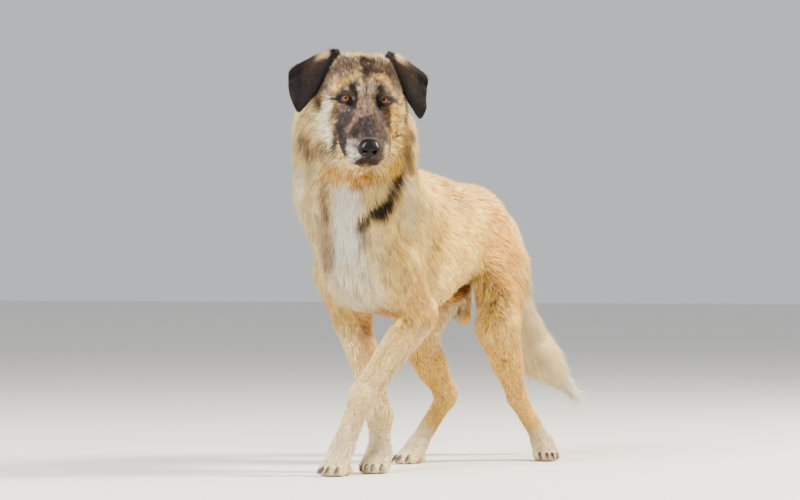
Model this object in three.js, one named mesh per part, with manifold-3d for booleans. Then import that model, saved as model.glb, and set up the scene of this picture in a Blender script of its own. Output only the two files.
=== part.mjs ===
// A life-size model of a large, rough-coated sheepdog in a slow walk, looking to its left.
// Millimetres, +Z up. The dog faces -Y and its left side is +X. It stands on the plane z = 0.
//
// The body is one smooth field: tapered limbs and balls that flow into each other. Each named part is the
// stretch of that field between two cuts, polygonised on a grid of its own, and the parts meet at thin gaps.
// Long coat is made of tapered locks, rooted in the core of the part that they grow from.
import * as THREE from "three";
import { mergeVertices } from "three/addons/utils/BufferGeometryUtils.js";
import Module from "manifold-3d";

// ---- Driving dimensions ----
const withersHeight = 672; // floor to the top of the shoulders, over the coat
const chestHalfWidth = 116;
const chestHalfDepth = 166;
const chestCentreHeight = withersHeight - chestHalfDepth;
const loinHeight = 653;
const eyeHeight = 823;
const muzzleLength = 132; // eyes to the centre of the nose
const eyeSpacing = 82; // between the centres of the eyeballs
const eyeRadius = 12.5;
const gap = 0.3; // between touching parts
const left = 1;
const right = -1;

const point = (x, y, z) => new THREE.Vector3(x, y, z);

// ---- Pose: joints of the skeleton ----
const fore = {
  left: {
    blade: point(36, -112, 612),
    shoulder: point(82, -272, 452),
    elbow: point(90, -186, 348),
    wrist: point(32, -326, 176),
    knuckle: point(-3, -352, 66),
    toe: point(-8, -404, 16),
  },
  right: {
    blade: point(-36, -108, 612),
    shoulder: point(-82, -262, 446),
    elbow: point(-90, -172, 342),
    wrist: point(3, -206, 128),
    knuckle: point(13, -224, 48),
    toe: point(26, -280, 16),
  },
};
const hind = {
  left: {
    hip: point(58, 278, 500),
    knee: point(98, 170, 318),
    hock: point(88, 286, 152),
    knuckle: point(112, 366, 46),
    toe: point(150, 326, 16),
  },
  right: {
    hip: point(-58, 272, 498),
    knee: point(-92, 120, 302),
    hock: point(-62, 208, 150),
    knuckle: point(-84, 112, 44),
    toe: point(-96, 58, 16),
  },
};
const tailPath = [
  point(0, 346, 572), point(0, 392, 540), point(-8, 428, 455),
  point(-8, 448, 350), point(26, 502, 248), point(82, 590, 150),
];
const neckBase = point(0, -215, 575);

// The head has a frame of its own, with its origin midway between the eyes, facing its own -Y.
const headTurn = { yaw: 39, pitch: 33, roll: 3 }; // degrees
const headFrame = new THREE.Matrix4()
  .makeTranslation(83, -403, eyeHeight)
  .multiply(new THREE.Matrix4().makeRotationZ(THREE.MathUtils.degToRad(headTurn.yaw)))
  .multiply(new THREE.Matrix4().makeRotationX(THREE.MathUtils.degToRad(headTurn.pitch)))
  .multiply(new THREE.Matrix4().makeRotationY(THREE.MathUtils.degToRad(headTurn.roll)));
const inHead = (x, y, z) => point(x, y, z).applyMatrix4(headFrame);
const headTilt = new THREE.Quaternion().setFromRotationMatrix(headFrame);
const neckTop = inHead(0, 88, -100);

// ---- The field: signed distances in millimetres, negative inside ----
// A limb from a to b whose radius runs from ra to rb.
function limb(a, b, ra, rb) {
  const along = b.clone().sub(a);
  const lengthSq = along.lengthSq();
  const q = new THREE.Vector3();
  return (p) => {
    q.copy(p).sub(a);
    const t = THREE.MathUtils.clamp(q.dot(along) / lengthSq, 0, 1);
    return q.addScaledVector(along, -t).length() - (ra + (rb - ra) * t);
  };
}

// An ellipsoid with the radii rx, ry, rz, turned by a quaternion.
function ball(centre, rx, ry, rz, turn = new THREE.Quaternion()) {
  const back = turn.clone().invert();
  const q = new THREE.Vector3();
  const r = point(rx, ry, rz);
  return (p) => {
    q.copy(p).sub(centre).applyQuaternion(back).divide(r);
    const k0 = q.length();
    const k1 = q.divide(r).length();
    return k1 < 1e-9 ? -Math.min(rx, ry, rz) : (k0 * (k0 - 1)) / k1;
  };
}

// Forms that flow into each other over the distance k.
function flow(k, ...forms) {
  return (p) => {
    let d = forms[0](p);
    for (let i = 1; i < forms.length; i++) {
      const e = forms[i](p);
      const h = Math.max(k - Math.abs(d - e), 0) / k;
      d = Math.min(d, e) - (h * h * k) / 4;
    }
    return d;
  };
}

const turnAbout = (x, y, z) => new THREE.Quaternion().setFromEuler(
  new THREE.Euler(...[x, y, z].map(THREE.MathUtils.degToRad)));

// ---- Flesh of the trunk ----
const shoulderOf = (leg) => flow(30,
  limb(leg.blade, leg.shoulder, 44, 52),
  limb(leg.shoulder, leg.elbow, 52, 41),
);
const thighOf = (leg) => flow(30,
  ball(leg.hip.clone().lerp(leg.knee, 0.3), 48, 88, 96, turnAbout(-18, 0, 0)),
  limb(leg.hip.clone().lerp(leg.knee, 0.25), leg.knee, 62, 50),
);
const trunk = flow(60,
  ball(point(0, -96, chestCentreHeight), chestHalfWidth, 205, chestHalfDepth),
  ball(point(0, -258, 490), 108, 114, 128),
  ball(point(0, 90, 526), 96, 190, 115),
  limb(point(0, -60, 620), point(0, 200, loinHeight - 82), 50, 62),
  limb(point(0, 210, 560), point(0, 328, 536), 78, 62),
);
const flank = flow(40, trunk,
  shoulderOf(fore.left), shoulderOf(fore.right), thighOf(hind.left), thighOf(hind.right));

// ---- Flesh of the neck and head ----
const neckCore = flow(60,
  limb(neckBase, neckTop, 112, 88),
  ball(point(0, -298, 608), 128, 122, 118),
  ball(inHead(-5, 94, -112), 126, 80, 72, headTilt),
  ball(point(-5, -300, 728), 133, 94, 74),
);
const muzzle = flow(16,
  limb(inHead(0, -6, -38), inHead(0, -104, -58), 37, 36),
  limb(inHead(0, 2, -12), inHead(0, 16 - muzzleLength, -40), 21, 19),
  ...[left, right].flatMap((side) => [
    ball(inHead(side * 30, -66, -64), 27, 46, 32, headTilt),
    ball(inHead(side * 24, -104, -66), 25, 24, 34, headTilt),
  ]),
  limb(inHead(0, 10, -70), inHead(0, -94, -92), 34, 23),
);
const lipLine = [
  [10, -126, -82], [25, -116, -86], [32, -84, -86], [35, -48, -82], [38, -14, -72], [36, 4, -62],
];
const lipOf = (side) => lipLine.map(([x, y, z]) => inHead(side * x, y, z));
const lips = flow(4, ...[left, right].flatMap((side) =>
  lipOf(side).slice(1).map((q, i) => limb(lipOf(side)[i], q, 6.5, 6.5))));
const cranium = flow(26,
  ball(inHead(0, 76, 10), 70, 86, 57, headTilt),
  ...[left, right].flatMap((side) => [
    ball(inHead(side * 48, 46, -20), 38, 54, 44, headTilt),
    ball(inHead(side * 32, 10, 18), 20, 18, 15, headTilt),
    ball(inHead(side * 56, 70, -44), 48, 50, 46, headTilt),
  ]),
);
const skull = flow(24, cranium, flow(7, muzzle, lips));
const throat = limb(inHead(0, 36, -78), inHead(0, 95, -70), 36, 70);
const headField = flow(36, skull, throat);

// ---- Flesh of the limbs ----
const toeRows = [-1.45, -0.5, 0.5, 1.45]; // places of the toes across a paw, in toe widths from its middle
// The four toes of a paw: its forward direction, and where each toe starts and ends.
function toesOf(leg, { base, spread, height }) {
  const forward = leg.toe.clone().sub(leg.knuckle).setZ(0).normalize();
  const across = point(-forward.y, forward.x, 0);
  const toes = toeRows.map((k) => ({
    start: leg.knuckle.clone().addScaledVector(across, k * base),
    tip: leg.knuckle.clone().lerp(leg.toe, Math.abs(k) > 1 ? 0.72 : 1).addScaledVector(across, k * spread)
      .setZ(height),
  }));
  return { forward, toes };
}
const foreToes = (leg) => toesOf(leg, { base: 9, spread: 14.5, height: 13 });
const hindToes = (leg) => toesOf(leg, { base: 8, spread: 13, height: 12.5 });
const foreleg = (leg, side) => {
  const { forward, toes } = foreToes(leg);
  return flow(14,
    limb(leg.elbow, leg.wrist, 42, 27),
    ball(leg.elbow.clone().add(point(side * 4, 26, 14)), 26, 30, 40),
    ball(leg.wrist, 28, 29, 30),
    limb(leg.wrist, leg.knuckle, 26, 24),
    flow(7, ...toes.map(({ start, tip }) => limb(start, tip, 16, 15.5))),
    ball(leg.knuckle.clone().addScaledVector(forward, 6).setZ(13), 28, 24, 16),
  );
};
const hindleg = (leg) => {
  const { forward, toes } = hindToes(leg);
  const heel = leg.hock.clone().add(leg.hock.clone().sub(leg.knuckle).setLength(24)).add(point(0, 8, 0));
  return flow(16,
    limb(leg.knee, leg.knee.clone().lerp(leg.hock, 0.55), 52, 34),
    limb(leg.knee.clone().lerp(leg.hock, 0.45), leg.hock, 36, 21),
    limb(leg.knee.clone().lerp(leg.hock, 0.35), heel, 26, 13),
    limb(heel, leg.hock, 15, 20),
    limb(leg.hock, leg.knuckle, 22, 21),
    flow(7, ...toes.map(({ start, tip }) => limb(start, tip, 15, 14.5))),
    ball(leg.knuckle.clone().addScaledVector(forward, 6).setZ(12), 26, 22, 15),
  );
};
const limbs = {
  foreLeft: foreleg(fore.left, left),
  foreRight: foreleg(fore.right, right),
  hindLeft: hindleg(hind.left),
  hindRight: hindleg(hind.right),
};

// ---- Polygonising the field ----
// The slope of a field at p, and its outward direction.
function slopeAt(field, p, e = 1) {
  const across = (axis) => {
    const step = point(0, 0, 0).setComponent(axis, e);
    return field(p.clone().add(step)) - field(p.clone().sub(step));
  };
  return point(across(0), across(1), across(2)).divideScalar(2 * e);
}
const outwardAt = (field, p) => slopeAt(field, p).normalize();

// Fills grid corners until no face of a cell has only its diagonal corners inside, and no cell has only two
// opposite ones. The net is then a closed sheet everywhere.
function untangle(value, n) {
  const steps = [1, n.x, n.x * n.y];
  const filled = -0.05;
  const inside = (v) => value[v] < 0;
  let changed = true;
  while (changed) {
    changed = false;
    for (let k = 0; k < n.z - 1; k++)
      for (let j = 0; j < n.y - 1; j++)
        for (let i = 0; i < n.x - 1; i++) {
          const v = i + n.x * (j + n.y * k);
          for (const [a, b] of [[0, 1], [0, 2], [1, 2]]) {
            const [p, q, r, s] = [v, v + steps[a], v + steps[a] + steps[b], v + steps[b]];
            if (inside(p) !== inside(r) || inside(q) !== inside(s) || inside(p) === inside(q)) continue;
            const out = inside(p) ? [q, s] : [p, r];
            value[value[out[0]] < value[out[1]] ? out[0] : out[1]] = filled;
            changed = true;
          }
        }
  }
}

// Surface nets: one vertex in each cell that the surface crosses, drawn onto the surface, and one quad for
// each grid edge that it crosses. A cell is sx * sy * sz, in a grid turned by the quaternion.
function net(field, centre, size, cell, turn = new THREE.Quaternion()) {
  const settle = (p) => {
    for (let step = 0; step < 3; step++) {
      const slope = slopeAt(field, p, 0.5);
      const steep = Math.max(slope.lengthSq(), 0.2);
      p.addScaledVector(slope, THREE.MathUtils.clamp(-field(p) / steep, -cell.x / 3, cell.x / 3));
    }
    return p;
  };
  const n = size.clone().divide(cell).ceil().addScalar(1);
  const place = (i, j, k) => point(i - (n.x - 1) / 2, j - (n.y - 1) / 2, k - (n.z - 1) / 2)
    .multiply(cell).applyQuaternion(turn).add(centre);
  const index = (i, j, k) => i + n.x * (j + n.y * k);
  const value = new Float64Array(n.x * n.y * n.z);
  for (let k = 0; k < n.z; k++)
    for (let j = 0; j < n.y; j++)
      for (let i = 0; i < n.x; i++) {
        const edge = i === 0 || j === 0 || k === 0 || i === n.x - 1 || j === n.y - 1 || k === n.z - 1;
        value[index(i, j, k)] = edge ? 1e3 : field(place(i, j, k));
      }
  untangle(value, n);
  const vertexOf = new Int32Array(value.length).fill(-1);
  const spots = [];
  const free = [];
  const corners = [0, 1, 2, 3, 4, 5, 6, 7].map((c) => [c & 1, (c >> 1) & 1, (c >> 2) & 1]);
  for (let k = 0; k < n.z - 1; k++)
    for (let j = 0; j < n.y - 1; j++)
      for (let i = 0; i < n.x - 1; i++) {
        const sum = point(0, 0, 0);
        let count = 0;
        for (let a = 0; a < 8; a++)
          for (let bit = 0; bit < 3; bit++) {
            if (corners[a][bit]) continue;
            const b = a | (1 << bit);
            const [ca, cb] = [corners[a], corners[b]];
            const va = value[index(i + ca[0], j + ca[1], k + ca[2])];
            const vb = value[index(i + cb[0], j + cb[1], k + cb[2])];
            if (va < 0 === vb < 0) continue;
            const t = va >= 999 || vb >= 999 ? 0.5 : va / (va - vb);
            sum.add(point(i + ca[0] + (cb[0] - ca[0]) * t, j + ca[1] + (cb[1] - ca[1]) * t,
              k + ca[2] + (cb[2] - ca[2]) * t));
            count++;
          }
        if (!count) continue;
        sum.divideScalar(count);
        vertexOf[index(i, j, k)] = spots.length;
        const rim = i < 1 || j < 1 || k < 1 || i > n.x - 3 || j > n.y - 3 || k > n.z - 3;
        const spot = place(sum.x, sum.y, sum.z);
        spots.push(rim ? spot : settle(spot));
        free.push(!rim);
      }
  const faces = [];
  const quad = (a, b, c, d, flip) =>
    flip ? faces.push(a, c, b, a, d, c) : faces.push(a, b, c, a, c, d);
  for (let k = 0; k < n.z - 1; k++)
    for (let j = 0; j < n.y - 1; j++)
      for (let i = 0; i < n.x - 1; i++) {
        const here = value[index(i, j, k)] < 0;
        const v = (a, b, c) => vertexOf[index(a, b, c)];
        if (j > 0 && k > 0 && here !== value[index(i + 1, j, k)] < 0)
          quad(v(i, j - 1, k - 1), v(i, j, k - 1), v(i, j, k), v(i, j - 1, k), !here);
        if (i > 0 && k > 0 && here !== value[index(i, j + 1, k)] < 0)
          quad(v(i - 1, j, k - 1), v(i, j, k - 1), v(i, j, k), v(i - 1, j, k), here);
        if (i > 0 && j > 0 && here !== value[index(i, j, k + 1)] < 0)
          quad(v(i - 1, j - 1, k), v(i, j - 1, k), v(i, j, k), v(i - 1, j, k), !here);
      }
  // Even the net out: each vertex moves toward its neighbours and back onto the surface.
  const around = spots.map(() => new Set());
  for (let f = 0; f < faces.length; f++) around[faces[f]].add(faces[f % 3 === 2 ? f - 2 : f + 1]);
  for (let pass = 0; pass < 2; pass++) {
    const mean = around.map((ring) => [...ring].reduce((m, v) => m.add(spots[v]), point(0, 0, 0))
      .divideScalar(ring.size));
    spots.forEach((spot, v) => free[v] && settle(spot.lerp(mean[v], 0.5)));
  }
  const geometry = new THREE.BufferGeometry().setFromPoints(spots);
  geometry.setIndex(faces);
  return geometry;
}

// ---- Joining and cutting ----
const { Manifold, Mesh } = await Module().then((wasm) => (wasm.setup(), wasm));

// A solid from a closed geometry. Equal corners are welded first.
function solid(geometry) {
  const bare = new THREE.BufferGeometry();
  bare.setAttribute("position", geometry.getAttribute("position").clone());
  bare.setIndex(geometry.getIndex() ?? [...Array(geometry.getAttribute("position").count).keys()]);
  const welded = mergeVertices(bare, 1e-4);
  const mesh = new Mesh({
    numProp: 3,
    vertProperties: new Float32Array(welded.getAttribute("position").array),
    triVerts: new Uint32Array(welded.getIndex().array),
  });
  return new Manifold(mesh);
}

// The half space behind the plane through p, on the side that the normal points away from.
const reach = 1400;
function behind(p, normal) {
  const geometry = new THREE.BoxGeometry(reach, reach, reach);
  geometry.translate(0, 0, -reach / 2);
  const aim = normal.clone().normalize();
  geometry.applyQuaternion(new THREE.Quaternion().setFromUnitVectors(point(0, 0, 1), aim));
  return solid(geometry.translate(p.x, p.y, p.z));
}
const ahead = (p, normal) => behind(p, normal.clone().negate());

// The two sides of a cut: what lies behind the plane, and what lies ahead of it past the gap.
function cut(p, normal) {
  const unit = normal.clone().normalize();
  return { behind: behind(p, unit), ahead: ahead(p.clone().addScaledVector(unit, gap), unit) };
}

// A slab between x0 and x1 with the outline (y, z), all its faces pushed out by grow.
function slab(x0, x1, outline, grow = 0, frame = new THREE.Matrix4()) {
  const ring = outline.map(([y, z]) => new THREE.Vector2(y, z));
  if (THREE.ShapeUtils.isClockWise(ring)) ring.reverse();
  const normals = ring.map((q, i) => {
    const edge = ring[(i + 1) % ring.length].clone().sub(q).normalize();
    return new THREE.Vector2(edge.y, -edge.x);
  });
  const shape = new THREE.Shape(ring.map((q, i) => {
    const before = normals[(i + ring.length - 1) % ring.length];
    const bisector = before.clone().add(normals[i]).divideScalar(1 + before.dot(normals[i]));
    return q.clone().addScaledVector(bisector, grow);
  }));
  const depth = Math.abs(x1 - x0) + 2 * grow;
  const geometry = new THREE.ExtrudeGeometry(shape, { depth, bevelEnabled: false });
  geometry.translate(0, 0, -grow);
  // Shape x becomes y, shape y becomes z, and the depth becomes x.
  geometry.applyMatrix4(new THREE.Matrix4().makeBasis(point(0, 1, 0), point(0, 0, 1), point(1, 0, 0)));
  return solid(geometry.translate(Math.min(x0, x1), 0, 0).applyMatrix4(frame));
}

const join = (...solids) => solids.reduce((a, b) => a.add(b));
const floorCut = ahead(point(0, 0, 0), point(0, 0, 1));

// The largest body of a solid; crumbs left by a cut are dropped.
function largest(body) {
  const bodies = body.decompose();
  return bodies.reduce((a, b) => (b.volume() > a.volume() ? b : a));
}

// A solid pushed outward along its smoothed normals.
function grown(body, by) {
  const mesh = body.getMesh();
  const geometry = new THREE.BufferGeometry();
  geometry.setAttribute("position", new THREE.BufferAttribute(new Float32Array(mesh.vertProperties), 3));
  geometry.setIndex([...mesh.triVerts]);
  geometry.computeVertexNormals();
  const position = geometry.getAttribute("position");
  const normal = geometry.getAttribute("normal");
  for (let i = 0; i < position.count; i++)
    position.setXYZ(i, position.getX(i) + normal.getX(i) * by, position.getY(i) + normal.getY(i) * by,
      position.getZ(i) + normal.getZ(i) * by);
  return solid(geometry);
}

// ---- Long coat ----
// Each lock is a flat, tapered strip of four-sided rings that ends in a point. Its root is sunk in the core of
// its part. From there it bends along the lie of the coat and rises to the part's outline.
const lockRings = [[0, 0.75], [0.38, 1], [0.74, 0.72]]; // share of the length, share of the width
const lockFlatness = 0.34;
const goldenAngle = Math.PI * (3 - Math.sqrt(5));

// Numbers from 0 to 1 that are the same on each run.
function dice(seed) {
  let state = seed;
  return () => {
    state = (state * 1664525 + 1013904223) % 4294967296;
    return state / 4294967296;
  };
}

function toLevel(field, p, level) {
  for (let step = 0; step < 8; step++) p.addScaledVector(outwardAt(field, p), (level - field(p)) * 0.8);
  return p;
}

// The outline's field, then where the lock starts, which way it runs and how big it is. Its root lies under the
// coat's depth, sunk in the core, and its tip may stand a little proud of the outline.
function lock(field, { root, lie, length, width, depth, sink = 9, proud = 0 }) {
  const spine = [];
  const p = toLevel(field, root.clone(), -depth - sink);
  let last = 0;
  for (const t of [...lockRings.map(([share]) => share), 1]) {
    const normal = outwardAt(field, p);
    const step = lie.clone().addScaledVector(normal, -lie.dot(normal)).setLength(length * (t - last));
    last = t;
    toLevel(field, p.add(step), -(depth + sink) * (1 - t) ** 1.4 - width * 0.1 + proud * t);
    spine.push({ spot: p.clone(), normal: outwardAt(field, p) });
  }
  const points = [];
  lockRings.forEach(([, share], i) => {
    const ahead = spine[i + 1].spot.clone().sub(spine[i].spot).normalize();
    const across = ahead.clone().cross(spine[i].normal).setLength((width * share) / 2);
    const up = across.clone().cross(ahead).setLength((width * share * lockFlatness) / 2);
    for (const offset of [across, up, across.clone().negate(), up.clone().negate()])
      points.push(spine[i].spot.clone().add(offset));
  });
  const tip = points.push(spine.at(-1).spot) - 1;
  const faces = [0, 1, 2, 0, 2, 3];
  for (let ring = 0; ring < lockRings.length; ring++)
    for (let side = 0; side < 4; side++) {
      const [a, b] = [ring * 4 + side, ring * 4 + ((side + 1) % 4)];
      if (ring + 1 < lockRings.length) faces.push(a, b + 4, b, a, a + 4, b + 4);
      else faces.push(a, tip, b);
    }
  const geometry = new THREE.BufferGeometry().setFromPoints(points);
  geometry.setIndex(faces);
  return solid(geometry);
}

// A core set back by the depth of its coat.
const setBack = (field, depth) => (p) => field(p) + (typeof depth === "function" ? depth(p) : depth);
const between = (x, low, high) => THREE.MathUtils.smoothstep(x, low, high);

// Locks round an axis from a to b, in a spiral. fan is how far each turns away from the axis.
function ringOfLocks(field, { a, b, count, seed, reachOut, fan = 0, lie, ...size }) {
  const random = dice(seed);
  const axis = b.clone().sub(a);
  const first = new THREE.Vector3().crossVectors(axis, point(1, 0, 0)).normalize();
  return Array.from({ length: count }, (_, i) => {
    const radial = first.clone().applyAxisAngle(axis.clone().normalize(), i * goldenAngle);
    const root = a.clone().addScaledVector(axis, (i + 0.5) / count).addScaledVector(radial, reachOut);
    const along = (lie ?? axis).clone().normalize().addScaledVector(radial, fan)
      .add(point(random() - 0.5, random() - 0.5, random() - 0.5).multiplyScalar(0.3)).normalize();
    const scale = 0.85 + 0.3 * random();
    return lock(field, { root, lie: along, ...size, length: size.length * scale, width: size.width * scale });
  });
}

// Locks in staggered rows over a patch with the corners a, b (top) and c, d (below them).
function rowsOfLocks(field, { corners, rows, columns, seed, lie, ...size }) {
  const random = dice(seed);
  const [a, b, c, d] = corners;
  return Array.from({ length: rows * columns }, (_, i) => {
    const row = Math.floor(i / columns);
    const s = ((i % columns) + 0.25 + 0.5 * (row % 2)) / columns;
    const root = a.clone().lerp(b, s).lerp(c.clone().lerp(d, s), (row + 0.5) / rows);
    const along = lie.clone().normalize()
      .add(point(random() - 0.5, random() - 0.5, random() - 0.5).multiplyScalar(0.25)).normalize();
    const scale = 0.85 + 0.3 * random();
    return lock(field, { root, lie: along, ...size, length: size.length * scale, width: size.width * scale });
  });
}

// ---- Colours and the model ----
const materials = {
  coat: 0x9a8468, pale_coat: 0xd8cbb2, dark_coat: 0x3d352f, nose: 0x171516, eye: 0x9a5a1c, claw: 0x2c2723,
};
const model = new THREE.Group();
model.name = "dog";
const finished = {};
function place(name, body, slot) {
  const whole = largest(body);
  const mesh = whole.getMesh();
  const geometry = new THREE.BufferGeometry();
  geometry.setAttribute("position", new THREE.BufferAttribute(new Float32Array(mesh.vertProperties), 3));
  geometry.setIndex([...mesh.triVerts]);
  geometry.computeVertexNormals();
  const material = new THREE.MeshStandardMaterial({ color: materials[slot], roughness: 0.9 });
  material.name = slot;
  const node = new THREE.Mesh(geometry, material);
  node.name = name;
  model.add(node);
  finished[name] = whole;
}

// ---- Trunk and thighs ----
const whole = flow(50, flank, neckCore);
const trunkOutline = flow(16, whole, limbs.foreLeft, limbs.foreRight);
const bibDepth = (p) => 13 * between(-p.y, 210, 290) * between(p.z, 340, 400);
const trunkNet = solid(net(setBack(trunkOutline, bibDepth), point(0, 40, 520),
  point(340, 860, 560), point(30, 46, 30)));
const bib = rowsOfLocks(trunkOutline, {
  corners: [point(-80, -370, 545), point(80, -370, 545), point(-58, -380, 425), point(58, -380, 425)],
  rows: 4, columns: 3, seed: 11, lie: point(0, 0.1, -1), length: 96, width: 42, depth: 13, proud: 5,
});
const withers = rowsOfLocks(trunkOutline, {
  corners: [point(-46, -100, 700), point(46, -100, 700), point(-46, 10, 690), point(46, 10, 690)],
  rows: 2, columns: 3, seed: 12, lie: point(0, 1, 0.1), length: 74, width: 34, depth: 2, proud: 6,
});
const neckCut = cut(point(0, -195, 622), point(0.02, -0.5, 0.86));
const chestCut = cut(point(0, 50, 500), point(0, 1, 0));
const loinCut = cut(point(0, 205, 500), point(0, 1, -0.12));
const tailCut = cut(tailPath[0].clone().lerp(tailPath[1], 0.6), point(0, 1, -0.3));

// The outline of a thigh as seen from the side, with its straight inner edges kept from the trunk.
const thighOutline = (leg) => [
  [leg.hip.y - 60, 566], [leg.hip.y + 96, 560], [leg.hip.y + 140, 430], [leg.knee.y + 110, 300],
  [leg.knee.y + 40, 200], [leg.knee.y - 100, 200], [leg.knee.y - 110, 330], [leg.knee.y - 20, 470],
];
const elbowCut = (leg) => cut(leg.elbow.clone().add(point(0, 0, -36)), point(0, -0.28, -1));
const elbowBox = (leg, side) => slab(side * 30, side * 175, [
  [leg.elbow.y - 120, 180], [leg.elbow.y + 95, 180], [leg.elbow.y + 95, 420], [leg.elbow.y - 120, 420],
]);
const underside = 296; // below this only limbs are left
let trunkSolid = trunkNet;
for (const [leg, side] of [[fore.left, left], [fore.right, right]]) {
  const below = ahead(leg.elbow.clone().add(point(0, 0, -36)), point(0, -0.28, -1));
  trunkSolid = trunkSolid.subtract(below.intersect(elbowBox(leg, side)));
}
trunkSolid = trunkSolid.intersect(ahead(point(0, 0, underside), point(0, 0, 1)));
const thighRoom = join(
  slab(left * 45, left * 200, thighOutline(hind.left), gap),
  slab(right * 45, right * 200, thighOutline(hind.right), gap),
);
const chestRoom = neckCut.behind.intersect(chestCut.behind);
place("chest", join(trunkSolid, ...bib, ...withers).intersect(chestRoom), "coat");
const roundForm = (centre, rx, ry, rz, lean) => solid(new THREE.SphereGeometry(1, 10, 8).scale(rx, ry, rz)
  .rotateX(THREE.MathUtils.degToRad(lean)).translate(centre.x, centre.y, centre.z));
const sheath = roundForm(point(0, 146, 394), 14, 62, 18, 14);
const scrotum = join(
  roundForm(point(-20, 222, 339), 16, 19, 19, 0),
  roundForm(point(-16, 228, 372), 12, 14, 34, -8),
);
const hindTrunk = trunkSolid.subtract(thighRoom).intersect(ahead(point(0, 0, 350), point(0, 0, 1)));
place("loin", hindTrunk.add(sheath).intersect(chestCut.ahead).intersect(loinCut.behind), "coat");
const rumpFloor = ahead(point(0, 0, 366), point(0, 0, 1));
place("rump", hindTrunk.intersect(rumpFloor).intersect(loinCut.ahead).intersect(tailCut.behind)
  .add(scrotum.intersect(loinCut.ahead)).subtract(thighRoom), "coat");

// Claws: a blunt cone out of the top of each toe's end, bent toward the floor.
const clawLength = 19;
const claws = ({ forward, toes }) => toes.map(({ tip }) => {
  const aim = forward.clone().add(point(0, 0, -0.42)).normalize();
  const cone = new THREE.ConeGeometry(4.6, clawLength, 5);
  cone.applyQuaternion(new THREE.Quaternion().setFromUnitVectors(point(0, 1, 0), aim));
  const middle = tip.clone().addScaledVector(aim, 9 + clawLength / 2).add(point(0, 0, 3));
  return solid(cone.translate(middle.x, middle.y, middle.z));
});

// ---- Hind legs ----
const breechLean = 0.42; // how far the rear edge of a thigh leans back, for its height
const footBox = (leg) => [
  point((leg.knuckle.x + leg.toe.x) / 2, (leg.knuckle.y + leg.toe.y) / 2, 50), point(130, 150, 140)];
for (const [name, leg, side, field] of [
  ["left", hind.left, left, limbs.hindLeft], ["right", hind.right, right, limbs.hindRight],
]) {
  const kneeCut = cut(leg.knee.clone().add(point(0, 6, -8)), leg.hock.clone().sub(leg.knee).setX(0));
  const hockCut = cut(leg.hock.clone().add(point(0, 0, -20)), leg.knuckle.clone().sub(leg.hock));
  const footCut = cut(leg.knuckle.clone().lerp(leg.hock, 0.22), leg.knuckle.clone().sub(leg.hock));
  const thighFlesh = flow(18, flank, field);
  const breechDepth = (p) => 13 * between(p.y, leg.knee.y + 60 + breechLean * (p.z - 300),
    leg.knee.y + 110 + breechLean * (p.z - 300));
  const thighNet = solid(net(setBack(thighFlesh, breechDepth),
    point(side * 100, (leg.hip.y + leg.knee.y) / 2, 400), point(190, 380, 400), point(26, 32, 30)));
  const breech = rowsOfLocks(thighFlesh, {
    corners: [point(side * 60, leg.hip.y + 130, 510), point(side * 104, leg.hip.y + 100, 510),
      point(side * 62, leg.knee.y + 165, 345), point(side * 108, leg.knee.y + 130, 345)],
    rows: 5, columns: 2, seed: 27 + side, lie: point(0, 0.45, -1), length: 96, width: 40, depth: 13, proud: 9,
  });
  const thighRoomOf = slab(side * 45, side * 200, thighOutline(leg)).intersect(kneeCut.behind);
  place(`thigh_${name}`, join(thighNet, ...breech).intersect(thighRoomOf), "coat");
  const shinNet = solid(net(flow(18, thighOf(leg), field),
    point(leg.knee.x, (leg.knee.y + leg.hock.y) / 2, 225), point(150, 320, 300), point(17, 20, 28)));
  place(`shin_${name}`, shinNet.intersect(kneeCut.ahead).intersect(hockCut.behind), "coat");
  const pasternNet = solid(net(field, leg.hock.clone().lerp(leg.knuckle, 0.5), point(140, 220, 220),
    point(15, 18, 20)));
  place(`hind_pastern_${name}`, pasternNet.intersect(hockCut.ahead).intersect(footCut.behind), "pale_coat");
  const footNet = solid(net(field, ...footBox(leg), point(12, 12, 11)));
  place(`hind_paw_${name}`, join(footNet, ...claws(hindToes(leg))).intersect(footCut.ahead).intersect(floorCut),
    "pale_coat");
}

// ---- Forelegs ----
for (const [name, leg, side, field] of [
  ["left", fore.left, left, limbs.foreLeft], ["right", fore.right, right, limbs.foreRight],
]) {
  const wristCut = cut(leg.wrist.clone().add(point(0, 0, -2)), leg.knuckle.clone().sub(leg.elbow));
  const footCut = cut(leg.knuckle.clone().lerp(leg.wrist, 0.16), leg.knuckle.clone().sub(leg.wrist));
  const armNet = solid(net(field, leg.elbow.clone().lerp(leg.wrist, 0.5),
    point(220, 260, 330), point(16, 18, 28)));
  place(`forearm_${name}`,
    armNet.intersect(elbowCut(leg).ahead).intersect(wristCut.behind), "coat");
  const pasternNet = solid(net(field, leg.knuckle.clone().lerp(leg.wrist, 0.5), point(130, 150, 200),
    point(15, 15, 22)));
  place(`fore_pastern_${name}`, pasternNet.intersect(wristCut.ahead).intersect(footCut.behind), "pale_coat");
  const footNet = solid(net(field, ...footBox(leg), point(12, 12, 11)));
  place(`fore_paw_${name}`, join(footNet, ...claws(foreToes(leg))).intersect(footCut.ahead).intersect(floorCut),
    "pale_coat");
}

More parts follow.
